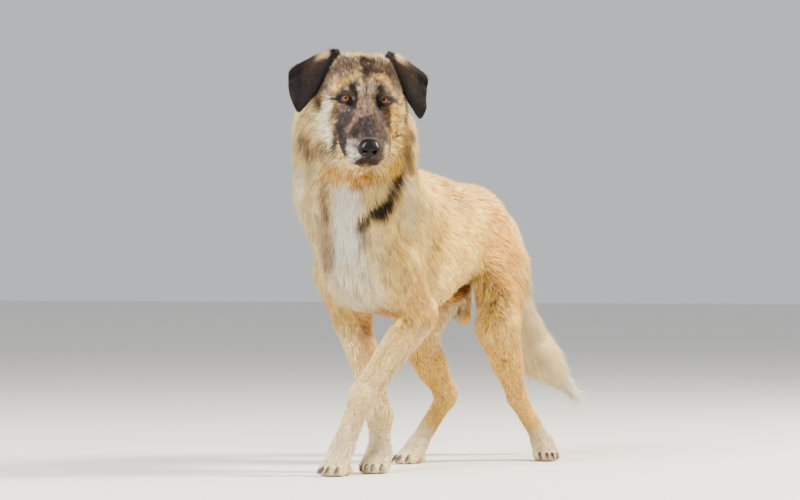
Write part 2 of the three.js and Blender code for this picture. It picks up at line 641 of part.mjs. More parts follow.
// ---- Neck and head ----
// Everything inside this outline, seen from the side of the head, belongs to the head.
const headOutline = [[-180, 140], [200, 140], [200, 26], [40, -80], [0, -122], [-180, -122]];
const headRoom = (grow) => slab(-230, 230, headOutline, grow, headFrame);
const neckOutline = flow(36, whole, cranium, throat);
const ruffDepth = 17;
const neckNet = solid(net(setBack(neckOutline, ruffDepth), point(10, -260, 700), point(360, 400, 460),
  point(31, 31, 31)));
const ruff = ringOfLocks(neckOutline, {
  a: inHead(0, 84, -44), b: point(0, -232, 548), count: 42, seed: 31, reachOut: 105, fan: 0.1,
  length: 126, width: 58, depth: ruffDepth, proud: 12,
});
place("neck", join(neckNet, ...ruff).intersect(neckCut.ahead).subtract(headRoom(gap)), "coat");
const face = flow(30, headField, neckCore);
const toHead = headFrame.clone().invert();
const cheekDepth = (p) => {
  const q = p.clone().applyMatrix4(toHead);
  return 8 * between(q.y, 45, 80) * between(-q.z, -10, 30);
};
const headNet = solid(net(setBack(face, cheekDepth), inHead(0, 50, -10), point(340, 300, 300),
  point(16, 16, 16), headTilt));
const cheekLocks = [left, right].flatMap((side) => rowsOfLocks(face, {
  corners: [inHead(side * 120, 56, -12), inHead(side * 120, 110, 6), inHead(side * 110, 50, -78),
    inHead(side * 110, 100, -84)],
  rows: 3, columns: 3, seed: 41 + side, lie: inHead(side * 0.15, 0.5, -0.85).sub(inHead(0, 0, 0)),
  length: 56, width: 26, depth: 8, sink: 6, proud: 4,
}));
const muzzleNet = solid(net(skull, inHead(0, -66, -50), point(180, 220, 200), point(12, 12, 12), headTilt));
const muzzleCut = cut(inHead(0, -16, -20), inHead(0, -1, 0).sub(inHead(0, 0, 0)));

// The nose pad, with two nostrils that open to the front and curl round to the sides.
const lump = (x, y, z, rx, ry, rz, across = 12, up = 10) => solid(
  new THREE.SphereGeometry(1, across, up).scale(rx, ry, rz).translate(x, y, z).applyMatrix4(headFrame));
const nosePad = (grow) => lump(0, -muzzleLength, -46, 24 + grow, 18 + grow, 18 + grow, 12, 8);
const nostril = (side) => join(
  lump(side * 10.5, -muzzleLength - 16, -48, 5.5, 9, 6, 8, 6),
  lump(side * 18, -muzzleLength - 10, -52, 7, 7, 3, 8, 5));
place("nose", nosePad(0).subtract(nostril(left)).subtract(nostril(right)), "nose");

// The lower jaw is what lies under the mouth line.
const mouthLine = [
  [-160, -88], [-122, -88], [-102, -95], [-78, -92], [-45, -87], [-14, -76], [4, -64], [2, -78], [-10, -96],
  [-20, -125], [-160, -125],
];
const jawRoom = (grow) => slab(-60, 60, mouthLine, grow, headFrame);
place("lower_jaw", muzzleNet.intersect(jawRoom(0)), "pale_coat");
place("muzzle", muzzleNet.intersect(headRoom(0)).intersect(muzzleCut.ahead).subtract(jawRoom(gap))
  .subtract(nosePad(gap)), "dark_coat");

// Eyeballs in lids: a thick shell round each ball, opened by an almond-shaped slot.
const eyeAt = (side) => [(side * eyeSpacing) / 2, -1, 0];
const almond = (side) => {
  const [x, , z] = eyeAt(side);
  const shape = new THREE.Shape();
  shape.moveTo(-13, -1);
  shape.quadraticCurveTo(-1, 13.5, 13.5, -2.5);
  shape.quadraticCurveTo(0, -12.5, -13, -1);
  const geometry = new THREE.ExtrudeGeometry(shape, { depth: 26, bevelEnabled: false, curveSegments: 7 });
  geometry.scale(side, 1, 1);
  if (side < 0) geometry.setIndex([...Array(geometry.getAttribute("position").count).keys()].reverse());
  return solid(geometry.rotateX(Math.PI / 2).translate(x, 0, z).applyMatrix4(headFrame));
};
let headSolid = join(headNet, ...cheekLocks).intersect(headRoom(0)).intersect(muzzleCut.behind)
  .subtract(jawRoom(gap));
for (const side of [left, right]) {
  const at = eyeAt(side);
  headSolid = headSolid.add(lump(...at, eyeRadius + 3, eyeRadius + 3, eyeRadius + 3, 12, 10))
    .subtract(lump(...at, eyeRadius + gap, eyeRadius + gap, eyeRadius + gap, 12, 10))
    .subtract(almond(side));
}
place("head", headSolid, "coat");
for (const [name, side] of [["left", left], ["right", right]])
  place(`eye_${name}`, lump(...eyeAt(side), eyeRadius, eyeRadius, eyeRadius, 12, 10), "eye");

// ---- Ears ----
// Each ear is a cupped leaf: it rises from the skull, folds over, and hangs to a rounded tip. A row runs
// from the front edge over the middle to the rear edge.
const earRows = [
  [[44, 84, 34], [58, 106, 36], [64, 126, -6]],
  [[49, 96, 52], [84, 116, 38], [108, 130, -4]],
  [[53, 100, 59], [104, 105, 37], [146, 118, -2]],
  [[62, 86, 44], [110, 89, 19], [151, 107, -25]],
  [[84, 66, 14], [120, 65, -10], [152, 84, -44]],
  [[108, 46, -18], [132, 43, -38], [148, 59, -55]],
  [[126, 38, -56], [134, 36, -63], [141, 42, -62]],
];
const earThickness = [16, 11, 9, 8, 7, 6, 4];
function ear(side) {
  const across = 5;
  const along = 10;
  const lines = [0, 1, 2].map((c) => new THREE.CatmullRomCurve3(
    earRows.map((row) => point(side * row[c][0], row[c][1], row[c][2]))));
  const spot = (s, t) => {
    const [a, b, c] = lines.map((line) => line.getPoint(s));
    return a.multiplyScalar((1 - t) * (1 - 2 * t)).addScaledVector(b, 4 * t * (1 - t))
      .addScaledVector(c, t * (2 * t - 1));
  };
  const outside = [];
  const inside = [];
  for (let i = 0; i <= along; i++)
    for (let j = 0; j <= across; j++) {
      const [s, t] = [i / along, j / across];
      const d = 0.01;
      const ds = spot(Math.min(s + d, 1), t).sub(spot(Math.max(s - d, 0), t));
      const dt = spot(s, Math.min(t + d, 1)).sub(spot(s, Math.max(t - d, 0)));
      const normal = dt.cross(ds).normalize().multiplyScalar(side);
      const row = s * (earThickness.length - 1);
      const thin = earThickness[Math.floor(row)] +
        (earThickness[Math.min(Math.floor(row) + 1, 6)] - earThickness[Math.floor(row)]) * (row % 1);
      const rim = 0.35 + 0.65 * Math.sqrt(Math.sin(Math.PI * THREE.MathUtils.clamp(t, 0.06, 0.94)));
      const half = (thin * rim) / 2;
      outside.push(spot(s, t).addScaledVector(normal, half));
      inside.push(spot(s, t).addScaledVector(normal, -half));
    }
  const row = across + 1;
  const points = [...outside, ...inside];
  const shift = outside.length;
  const faces = [];
  const quad = (a, b, c, d) => (side > 0 ? faces.push(a, b, c, a, c, d) : faces.push(a, c, b, a, d, c));
  for (let i = 0; i < along; i++)
    for (let j = 0; j < across; j++) {
      const a = i * row + j;
      quad(a, a + 1, a + row + 1, a + row);
      quad(shift + a, shift + a + row, shift + a + row + 1, shift + a + 1);
    }
  for (let i = 0; i < along; i++) {
    const [a, b] = [i * row, i * row + across];
    quad(a, a + row, shift + a + row, shift + a);
    quad(b, shift + b, shift + b + row, b + row);
  }
  for (let j = 0; j < across; j++) {
    const [a, b] = [j, along * row + j];
    quad(a, shift + a, shift + a + 1, a + 1);
    quad(b, b + 1, shift + b + 1, shift + b);
  }
  const geometry = new THREE.BufferGeometry().setFromPoints(points);
  geometry.setIndex(faces);
  return solid(geometry.applyMatrix4(headFrame));
}
const headGrown = grown(finished.head, 0.5);
const neckGrown = grown(finished.neck, 0.5);
for (const [name, side] of [["left", left], ["right", right]])
  place(`ear_${name}`, ear(side).subtract(headGrown).subtract(neckGrown), "dark_coat");

// ---- Tail ----
const tailRadii = [24, 30, 41, 50, 50, 11];
const tailOf = (share) => flow(24, ...tailPath.slice(1).map((q, i) =>
  limb(tailPath[i], q, tailRadii[i] * (i ? share : 1), Math.max(tailRadii[i + 1] * share, 9))));
const tail = tailOf(1);
const tailCore = tailOf(0.56);
const brushCut = cut(tailPath[2].clone().lerp(tailPath[3], 0.1), tailPath[3].clone().sub(tailPath[1]));
const rootNet = solid(net(tailCore, point(0, 410, 500), point(180, 240, 280), point(17, 17, 22)));
const brushNet = solid(net(tailCore, point(30, 500, 330), point(300, 360, 520), point(19, 19, 28)));
const tailLocks = (from, to, count, seed, size) => ringOfLocks(tail, {
  a: tailPath[from], b: tailPath[to], count, seed, reachOut: tailRadii[from] * 0.7, ...size,
});
const rootLocks = tailLocks(1, 2, 9, 51, { length: 96, width: 38, depth: 15, fan: 0.15 });
const brushLocks = [
  ...tailLocks(2, 3, 8, 82, { length: 126, width: 50, depth: 19, fan: 0.2, proud: 4 }),
  ...tailLocks(3, 4, 9, 83, { length: 132, width: 54, depth: 21, fan: 0.25, proud: 6 }),
  ...tailLocks(4, 5, 4, 84, { length: 112, width: 46, depth: 12, fan: 0.05 }),
];
place("tail_root", join(rootNet, ...rootLocks).intersect(tailCut.ahead).intersect(brushCut.behind)
  .subtract(thighRoom), "coat");
place("tail_brush", join(brushNet, ...brushLocks).intersect(brushCut.ahead), "coat");

// The origin is on the floor, under the middle of the model's box.
const box = new THREE.Box3().setFromObject(model);
const centre = box.getCenter(point(0, 0, 0));
for (const node of model.children) node.geometry.translate(-centre.x, -centre.y, 0);

export default model;
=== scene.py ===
"""A large, rough-coated sheepdog in a slow walk: skin, coat, head, claws and studio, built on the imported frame."""

import collections
import concurrent.futures
import functools
import math

import bpy
import numpy as np
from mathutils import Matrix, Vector


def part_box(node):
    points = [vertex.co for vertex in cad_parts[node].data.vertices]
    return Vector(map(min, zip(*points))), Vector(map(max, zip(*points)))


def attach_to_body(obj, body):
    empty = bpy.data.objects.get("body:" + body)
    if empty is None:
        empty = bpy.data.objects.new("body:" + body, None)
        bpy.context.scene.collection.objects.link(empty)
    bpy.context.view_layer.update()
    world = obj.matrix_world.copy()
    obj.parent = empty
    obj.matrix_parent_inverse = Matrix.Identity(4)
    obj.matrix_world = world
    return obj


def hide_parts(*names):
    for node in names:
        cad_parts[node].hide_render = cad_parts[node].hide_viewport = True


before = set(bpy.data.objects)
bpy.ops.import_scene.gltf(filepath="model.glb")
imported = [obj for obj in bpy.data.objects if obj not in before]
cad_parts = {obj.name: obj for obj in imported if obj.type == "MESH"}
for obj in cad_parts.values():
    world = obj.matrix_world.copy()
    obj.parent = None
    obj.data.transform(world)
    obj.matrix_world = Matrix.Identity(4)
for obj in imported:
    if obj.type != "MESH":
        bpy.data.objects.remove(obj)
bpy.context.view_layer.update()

bl_info = {
    "name": "Standing sheepdog",
    "version": (1, 0, 0),
    "blender": (4, 5, 0),
    "location": "3D View > Sidebar > Sheepdog",
    "description": "Builds the skin, coat, face and studio of a life-size sheepdog on its solid frame",
    "category": "Add Mesh",
}

LEFT, RIGHT = 1, -1
SIDES = (LEFT, RIGHT)
SIDE_NAMES = {LEFT: "left", RIGHT: "right"}

# ---- Pose: joints of the skeleton, in millimetres. The dog faces -Y and its left side is +X. ----
FORE = {
    LEFT: dict(blade=(36, -112, 612), shoulder=(82, -272, 452), elbow=(90, -186, 348),
               wrist=(32, -326, 176), knuckle=(-3, -352, 66), toe=(-8, -404, 16)),
    RIGHT: dict(blade=(-36, -108, 612), shoulder=(-82, -262, 446), elbow=(-90, -172, 342),
                wrist=(3, -206, 128), knuckle=(13, -224, 48), toe=(26, -280, 16)),
}
HIND = {
    LEFT: dict(hip=(58, 278, 500), knee=(98, 170, 318), hock=(88, 286, 152),
               knuckle=(112, 366, 46), toe=(150, 326, 16)),
    RIGHT: dict(hip=(-58, 272, 498), knee=(-92, 120, 302), hock=(-62, 208, 150),
                knuckle=(-84, 112, 44), toe=(-96, 58, 16)),
}
TAIL_PATH = [(0, 346, 572), (0, 392, 540), (-8, 428, 455), (-8, 448, 350), (26, 502, 248), (82, 590, 150)]
TAIL_RADII = [24, 30, 41, 50, 50, 11]
NECK_BASE = (0, -215, 575)
EYE_SPACING, EYE_RADIUS, MUZZLE_LENGTH = 82, 12.5, 132
EYE_GAP = 0.25  # by which the socket is wider than the eye's radius, and the eyeball narrower
WITHERS, LOIN = 672, 653
CHEST_HALF_WIDTH, CHEST_HALF_DEPTH = 116, 166


def turn(x=0.0, y=0.0, z=0.0):
    """The rotation matrix of turns in degrees about X, then Y, then Z, each about the body's own axis."""
    made = np.eye(3)
    for axis, degrees in ((2, z), (0, x), (1, y)):
        c, s = math.cos(math.radians(degrees)), math.sin(math.radians(degrees))
        i, j = (axis + 1) % 3, (axis + 2) % 3
        step = np.eye(3)
        step[i, i] = step[j, j] = c
        step[i, j], step[j, i] = -s, s
        made = made @ step
    return made


# The head has a frame of its own, with its origin midway between the eyes, facing its own -Y.
HEAD_AT = np.array((83.0, -403.0, 823.0))
HEAD_TURN = turn(x=33, y=3, z=39)


def in_head(x, y, z):
    return HEAD_AT + HEAD_TURN @ np.array((x, y, z), float)


def to_head(p):
    """Points of the dog's frame in the head's own frame."""
    return (p - HEAD_AT) @ HEAD_TURN


def from_head(q):
    """Points of the head's own frame in the dog's frame."""
    return HEAD_AT + q @ HEAD_TURN.T


def eye_at(side):
    return in_head(side * EYE_SPACING / 2, -1, 0)


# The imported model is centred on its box. The eyes tell where.
CENTRE = eye_at(LEFT) - np.array(sum(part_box("eye_left"), Vector())) * 500


def metres(p):
    return (np.asarray(p, float) - CENTRE) / 1000


# ---- The field: signed distances in millimetres, negative inside ----
def limb(a, b, ra, rb):
    """A tapered limb from a to b."""
    a, b = np.asarray(a, np.float32), np.asarray(b, np.float32)
    along = b - a
    share = along / max(along @ along, 1e-9)
    ra, rb = np.float32(ra), np.float32(rb)

    def field(p):
        q = p - a
        t = np.clip(q @ share, 0, 1)
        q -= t[:, None] * along
        return np.sqrt(np.einsum("ij,ij->i", q, q)) - (ra + (rb - ra) * t)

    return field


def ball(centre, radii, axes=None):
    """An ellipsoid, turned by the matrix axes."""
    centre, radii = np.asarray(centre, np.float32), np.asarray(radii, np.float32)
    axes = ((np.eye(3) if axes is None else axes) / radii).astype(np.float32)

    def field(p):
        q = (p - centre) @ axes
        reach = np.sqrt(np.einsum("ij,ij->i", q, q))
        q /= radii
        return reach * (reach - 1) / np.maximum(np.sqrt(np.einsum("ij,ij->i", q, q)), 1e-9)

    return field


def head_limb(a, b, ra, rb):
    """A tapered limb given in the head's own frame."""
    return limb(in_head(*a), in_head(*b), ra, rb)


def head_ball(centre, radii):
    """An ellipsoid given in the head's own frame."""
    return ball(in_head(*centre), radii, HEAD_TURN)


def flow(k, *forms):
    """Forms that flow into each other over the distance k."""

    def field(p):
        d = forms[0](p)
        for form in forms[1:]:
            e = form(p)
            h = np.maximum(k - np.abs(d - e), 0) / k
            d = np.minimum(d, e) - h * h * k / 4
        return d

    return field


def over(field, p, chunk=16384):
    """The field at many points, in chunks shared out between threads."""
    p = np.asarray(p, np.float32)
    with concurrent.futures.ThreadPoolExecutor(4) as pool:
        return np.concatenate(list(pool.map(field, (p[i:i + chunk] for i in range(0, len(p), chunk)))))


def only_near(centre, size, form):
    """The form, worked out only inside a box. Elsewhere the distance to the box stands for it."""
    low = np.subtract(centre, np.divide(size, 2)).astype(np.float32)
    high = np.add(centre, np.divide(size, 2)).astype(np.float32)

    def field(p):
        away = np.linalg.norm(np.maximum(np.maximum(low - p, p - high), 0), axis=1)
        d = away + 40
        near = away == 0
        if near.any():
            d[near] = form(p[near])
        return d

    return field


def unit(v):
    v = np.asarray(v, float)
    return v / np.linalg.norm(v, axis=-1, keepdims=True)


def smooth(x, low, high):
    t = np.clip((x - low) / (high - low), 0, 1)
    return t * t * (3 - 2 * t)


def middle(a, b, t=0.5):
    return np.add(np.multiply(a, 1 - t), np.multiply(b, t))


# Of a paw: how far its toes stand apart at the knuckles and at the tips, the height of the tips and the toes' radius
FORE_PAW, HIND_PAW = (9, 14.5, 13, 15.5), (8, 13, 12.5, 14.5)


def paw(leg, base, spread, height, radius):
    """The way a paw points, the knuckle and tip of each toe, and the paw as a field."""
    forward = unit(np.subtract(leg["toe"], leg["knuckle"]) * (1.0, 1.0, 0.0))
    across = np.array((-forward[1], forward[0], 0))
    toes = []
    for k in (-1.45, -0.5, 0.5, 1.45):
        tip = middle(leg["knuckle"], leg["toe"], 0.72 if abs(k) > 1 else 1) + across * k * spread
        toes.append((leg["knuckle"] + across * k * base, np.array((tip[0], tip[1], height))))
    heel = leg["knuckle"] + forward * 6
    sole = ball((heel[0], heel[1], height), (radius * 1.8, radius * 1.55, radius * 1.05))
    return forward, toes, flow(14, flow(5, *(limb(a, b, radius + 0.5, radius) for a, b in toes)), sole)


def paw_near(leg, sizes):
    return only_near(middle(leg["knuckle"], leg["toe"]), (150, 170, 170), paw(leg, *sizes)[2])


def foreleg(side):
    leg = FORE[side]
    return only_near(middle(leg["elbow"], leg["toe"]), (340, 460, 560), flow(
        14,
        limb(leg["elbow"], leg["wrist"], 42, 27),
        ball(np.add(leg["elbow"], (side * 4, 26, 14)), (26, 30, 40)),
        ball(leg["wrist"], (28, 29, 30)),
        limb(leg["wrist"], leg["knuckle"], 26, 24),
        paw_near(leg, FORE_PAW),
    ))


def hindleg(side):
    leg = HIND[side]
    heel = np.subtract(leg["hock"], leg["knuckle"])
    heel = leg["hock"] + heel * 24 / np.linalg.norm(heel) + (0, 8, 0)
    return only_near(middle(leg["knee"], leg["toe"]), (340, 480, 560), flow(
        16,
        limb(leg["knee"], middle(leg["knee"], leg["hock"], 0.55), 52, 34),
        limb(middle(leg["knee"], leg["hock"], 0.45), leg["hock"], 36, 21),
        limb(middle(leg["knee"], leg["hock"], 0.35), heel, 26, 13),
        limb(heel, leg["hock"], 15, 20),
        limb(leg["hock"], leg["knuckle"], 22, 21),
        paw_near(leg, HIND_PAW),
    ))


def shoulder(side):
    leg = FORE[side]
    return flow(30, limb(leg["blade"], leg["shoulder"], 44, 52), limb(leg["shoulder"], leg["elbow"], 52, 41))


def thigh(side):
    leg = HIND[side]
    return flow(
        30,
        ball(middle(leg["hip"], leg["knee"], 0.3), (48, 88, 96), turn(x=-18)),
        limb(middle(leg["hip"], leg["knee"], 0.25), leg["knee"], 62, 50),
    )


def tail():
    pairs = zip(TAIL_PATH, TAIL_PATH[1:], TAIL_RADII, TAIL_RADII[1:])
    return only_near((30, 480, 350), (260, 420, 600), flow(24, *(limb(*pair) for pair in pairs)))


LIP_LINE = [(10, -126, -82), (25, -116, -86), (32, -84, -86), (35, -48, -82), (38, -14, -72), (36, 4, -62)]


def muzzle():
    parts = [
        head_limb((0, -6, -38), (0, -104, -58), 37, 36),
        head_limb((0, 2, -12), (0, 16 - MUZZLE_LENGTH, -40), 21, 19),
        head_limb((0, 10, -70), (0, -94, -92), 34, 23),
    ]
    for side in SIDES:
        parts.append(head_ball((side * 30, -66, -64), (27, 46, 32)))
        parts.append(head_ball((side * 24, -104, -66), (25, 24, 34)))
    return flow(16, *parts)


def cranium():
    parts = [head_ball((0, 76, 5), (68, 86, 52))]
    for side in SIDES:
        parts.append(head_ball((side * 38, 84, 16), (34, 56, 38)))
        parts.append(head_ball((side * 48, 46, -20), (38, 54, 44)))
        parts.append(head_ball((side * 32, 10, 18), (20, 18, 15)))
        parts.append(head_ball((side * 56, 70, -44), (48, 50, 46)))
    return flow(26, *parts)


def neck():
    return flow(
        60,
        limb(NECK_BASE, in_head(0, 88, -100), 112, 88),
        ball((0, -298, 608), (128, 122, 118)),
        head_ball((-5, 94, -112), (126, 80, 72)),
        ball((-5, -300, 728), (133, 94, 74)),
    )


def trunk():
    chest_height = WITHERS - CHEST_HALF_DEPTH
    return flow(
        60,
        ball((0, -96, chest_height), (CHEST_HALF_WIDTH, 205, CHEST_HALF_DEPTH)),
        ball((0, -258, 490), (108, 114, 128)),
        ball((0, 90, 526), (96, 190, 115)),
        limb((0, -60, 620), (0, 200, LOIN - 82), 50, 62),
        limb((0, 210, 560), (0, 328, 536), 78, 62),
    )


def belly_forms():
    """The sheath under the belly, and the scrotum between the thighs."""
    return only_near((0, 170, 370), (120, 260, 160), flow(
        10,
        ball((0, 146, 394), (14, 62, 18), turn(x=14)),
        flow(8, ball((-20, 222, 339), (16, 19, 19)), ball((-16, 228, 372), (12, 14, 34), turn(x=-8))),
    ))


# Places where the coat swells or lies hollow: centre, reach and height
SWELLS = (
    ((-122, -338, 652), 70, 17), ((-116, -318, 590), 55, 6), ((-114, -300, 525), 48, 8),
    ((-112, -288, 450), 62, -13),
    ((64, -396, 600), 34, 5), ((70, -366, 545), 34, -5), ((-40, -400, 560), 34, -4), ((-70, -380, 500), 40, 4),
)


@functools.cache
def body_form():
    flanks = flow(40, trunk(), shoulder(LEFT), shoulder(RIGHT), thigh(LEFT), thigh(RIGHT))
    legs = [foreleg(LEFT), foreleg(RIGHT), hindleg(LEFT), hindleg(RIGHT)]
    whole = flow(16, flow(50, flanks, neck()), *legs, belly_forms(), tail())

    def field(p):
        d = whole(p)
        for centre, reach, height in SWELLS:
            d = d - height * np.exp(-((p - np.array(centre, np.float32)) ** 2).sum(axis=1) / reach**2)
        return d

    return field


# Half of the opening between the lids: its half width, and its height above and below the corners.
LID_WIDTH, LID_ABOVE, LID_BELOW = 12.6, 7.6, 7.2


def lid_frame(side):
    """The opening's own axes in the head's frame, as columns: outward across it, forward out of it, and up."""
    return np.diag((side, 1, 1)) @ turn(z=10) @ turn(x=-22) @ np.diag((1, -1, 1)) @ turn(y=6)


def lid_circle(height):
    """Radius of the arc over the opening's width with that height, and how far its centre lies past the corners."""
    radius = (LID_WIDTH**2 + height**2) / (2 * height)
    return radius, radius - height


def lid_opening(side):
    """The almond between the lids as a field, in the head's own frame: an endless bar along its line of sight."""
    axes = lid_frame(side).astype(np.float32)
    (above, drop), (below, lift) = lid_circle(LID_ABOVE), lid_circle(LID_BELOW)

    def field(q):
        r = (q - np.array((side * EYE_SPACING / 2, -1, 0), np.float32)) @ axes
        bar = np.maximum(np.hypot(r[:, 0], r[:, 2] + drop) - above, np.hypot(r[:, 0], r[:, 2] - lift) - below)
        return np.maximum(bar, 2 - r[:, 1])

    return field


@functools.cache
def skull_form():
    """Skull, flews, jaw and lids, before the eyes and the mouth are cut in."""
    lips = [head_limb((side * a[0], *a[1:]), (side * b[0], *b[1:]), 6.5, 6.5)
            for side in SIDES for a, b in zip(LIP_LINE, LIP_LINE[1:])]
    upper = flow(24, cranium(), flow(7, muzzle(), flow(4, *lips)))
    throat = head_limb((0, 36, -78), (0, 95, -70), 36, 70)
    lids = [ball(eye_at(side), (EYE_RADIUS + 3.4,) * 3) for side in SIDES]
    return flow(36, flow(9, upper, *lids), throat, neck())


# ---- The coat: how it lies, how long it is and how far it stands off the skin, zone by zone ----
Zone = collections.namedtuple("Zone", "piece form reach lie length lift width")


@functools.cache
def coat_zones():
    """Zones as thick lines. Each has the direction in which its hair lies, and its hair's length, lift and width."""
    zones = []

    def zone(piece, a, b, radius, lie, length, lift, width):
        zones.append(Zone(piece, limb(a, b, radius, radius), radius, unit(lie), length, lift, width))

    def face(piece, a, b, radius, lie, *coat):
        zone(piece, in_head(*a), in_head(*b), radius, HEAD_TURN @ unit(lie), *coat)

    def bone(piece, a, b, radius, *coat):
        zone(piece, a, b, radius, np.subtract(b, a), *coat)

    face("face", (0, -20, 0), (0, -112, -24), 14, (0, 1, 0.2), 8, 1.3, 1.5)
    face("face", (0, -104, -104), (0, -40, -112), 18, (0, 1, -0.3), 12, 2.2, 1.6)
    face("skull", (0, 8, 32), (0, 52, 60), 26, (0, 1, 0.5), 14, 3.2, 1.6)
    face("skull", (0, 78, 72), (0, 150, 60), 40, (0, 1, -0.15), 22, 5.5, 2.1)
    face("skull", (0, 0, -112), (0, 50, -130), 26, (0, 0.8, -0.6), 30, 9, 3.0)
    for s in SIDES:
        face("face", (s * 28, -108, -60), (s * 34, -40, -62), 17, (s * 0.15, 1, -0.28), 8.5, 1.6, 1.5)
        face("face", (s * 24, -120, -84), (s * 37, -14, -78), 9, (s * 0.1, 0.8, -0.6), 10, 1.9, 1.5)
        face("face", (s * 41, -6, 0), (s * 41, -5, 0), 14, (s * 0.5, 1, 0.1), 5.5, 1.1, 1.2)
        face("face", (s * 42, -10, -24), (s * 54, 14, -26), 10, (s * 0.3, 1, -0.2), 8, 1.6, 1.5)
        face("face", (s * 26, 0, 20), (s * 46, 14, 22), 9, (s * 0.5, 0.7, 0.5), 10, 2.0, 1.6)
        face("skull", (s * 64, 40, 12), (s * 70, 76, 22), 24, (s * 0.1, 1, 0.1), 17, 4.2, 1.8)
        face("skull", (s * 64, 26, -26), (s * 70, 48, -58), 24, (s * 0.2, 0.8, -0.5), 22, 6.5, 2.0)
        face("skull", (s * 92, 76, -30), (s * 88, 84, -80), 28, (s * 0.3, 0.5, -0.8), 42, 13, 2.3)
    zone("neck", in_head(0, 135, 20), (0, -150, 700), 60, (0, 0.85, -0.5), 56, 16, 2.6)
    zone("neck", in_head(0, 60, -160), (0, -352, 610), 58, (0.04, -0.05, -1), 58, 17, 2.6)
    zone("chest", (0, -380, 560), (0, -376, 440), 60, (0, 0.15, -1), 54, 14, 2.8)
    zone("chest", (0, -120, 690), (0, -20, 680), 46, (0, 1, -0.12), 46, 12, 2.9)
    zone("back", (0, 30, 660), (0, 270, 650), 50, (0, 1, -0.06), 42, 11, 3.1)
    zone("back", (0, -190, 335), (0, 150, 415), 46, (0, 1, -0.25), 34, 8, 3.0)
    zone("rump", (0, 290, 640), (0, 350, 600), 56, (0, 0.85, -0.5), 44, 12, 3.1)
    for s in SIDES:
        fore, hind = FORE[s], HIND[s]
        zone("neck", in_head(s * 110, 90, -90), (s * 118, -240, 630), 56, (s * 0.12, 0.22, -1), 57, 17, 2.6)
        zone("chest", (s * 84, -360, 560), (s * 74, -360, 430), 40, (s * 0.1, 0.2, -1), 50, 13, 2.8)
        zone("chest", (s * 96, -150, 620), (s * 112, -230, 460), 50, (0, 0.38, -0.9), 40, 10.5, 2.8)
        zone("chest", np.add(fore["shoulder"], (s * 20, 10, -30)), fore["elbow"], 40, (0, 0.5, -0.85), 30, 7, 2.6)
        zone("back", (s * 112, -60, 540), (s * 100, 150, 560), 60, (0, 0.85, -0.5), 38, 10, 3.0)
        zone("back", (s * 84, -80, 400), (s * 76, 150, 450), 46, (0, 0.9, -0.42), 34, 9, 3.0)
        zone("rump", middle(hind["hip"], hind["knee"], -0.05) + (s * 50, -20, 0),
             np.add(hind["knee"], (s * 34, -20, 40)), 60, (0, 0.45, -0.88), 33, 8.5, 2.9)
        zone("rump", (s * 66, 392, 520), (s * 78, hind["knee"][1] + 150, 350), 42, (s * 0.1, 0.45, -1), 56, 14, 3.2)
        zone("rump", (s * 36, 190, 420), (s * 52, hind["knee"][1] + 40, 320), 26, (0, 0.4, -0.9), 18, 4, 2.4)
        down = np.subtract(fore["wrist"], fore["elbow"])
        zone("legs", np.add(fore["elbow"], (0, -6, -34)), fore["wrist"], 32, down, 17, 3.6, 2.6)
        zone("legs", np.add(fore["elbow"], (0, 42, 0)), middle(fore["elbow"], fore["wrist"], 0.8) + (0, 30, 0), 16,
             down + (0, 140, 0), 30, 6, 3.4)
        bone("legs", fore["wrist"], fore["knuckle"], 26, 12, 2.4, 2.0)
        bone("legs", fore["knuckle"], fore["toe"], 22, 9, 1.8, 1.8)
        down = np.subtract(hind["hock"], hind["knee"])
        zone("legs", np.add(hind["knee"], (0, 6, -26)), hind["hock"], 34, down, 20, 4.4, 2.8)
        zone("legs", np.add(hind["knee"], (0, 80, -30)), np.add(hind["hock"], (0, 26, 20)), 16,
             down + (0, 40, 0), 30, 6, 3.4)
        bone("legs", hind["hock"], hind["knuckle"], 24, 12, 2.4, 2.0)
        bone("legs", hind["knuckle"], hind["toe"], 22, 9, 1.8, 1.8)
    zone("rump", (0, 100, 388), (0, 200, 400), 16, (0, 0.7, -0.5), 14, 2.6, 2.2)
    zone("rump", (-20, 222, 330), (-18, 226, 360), 14, (0, 0.2, -1), 8, 1.6, 1.6)
    coats = ((50, 10, 3.0), (72, 16, 3.2), (88, 23, 3.4), (92, 25, 3.6), (86, 14, 3.4))
    for a, b, radius, coat in zip(TAIL_PATH, TAIL_PATH[1:], TAIL_RADII, coats):
        bone("tail", a, b, radius, *coat)
    return zones


def closeness(p, zones):
    """The distance of each point from each zone, and how much each zone counts there."""
    d = np.stack([z.form(p) for z in zones], axis=1)
    softness = np.array([np.clip(0.32 * z.reach, 4, 16) for z in zones], d.dtype)
    return d, np.exp(-(d - d.min(axis=1, keepdims=True)) / softness)


def coat_at(p):
    """Blended lie, length, lift and width of the coat at each point, and the number of the nearest zone."""
    zones = coat_zones()
    d, w = closeness(p, zones)
    w /= w.sum(axis=1, keepdims=True)
    blend = [w @ np.array([getattr(z, key) for z in zones]) for key in ("lie", "length", "lift", "width")]
    return *blend, d.argmin(axis=1)


def coat_lift(p, pieces):
    """The coat's lift at each point, from the zones of some pieces only."""
    zones = [z for z in coat_zones() if z.piece in pieces]
    _, w = closeness(p, zones)
    return w @ np.array([z.lift for z in zones], np.float32) / w.sum(axis=1)


def head_share(p):
    """How far a point belongs to the head's coat, from 0 to 1."""
    zones = coat_zones()
    own = np.min([z.form(p) for z in zones if z.piece in ("face", "skull")], axis=0)
    other = np.min([z.form(p) for z in zones if z.piece in ("neck", "chest")], axis=0)
    return smooth(other - own, -16, 16)


HEAD_SHEETS = ("face", "skull", "neck")
BODY_SHEETS = ("skull", "neck", "chest", "back", "rump", "legs", "tail")
SET_BACK = 0.82  # share of the coat's lift by which the skin lies under the outline


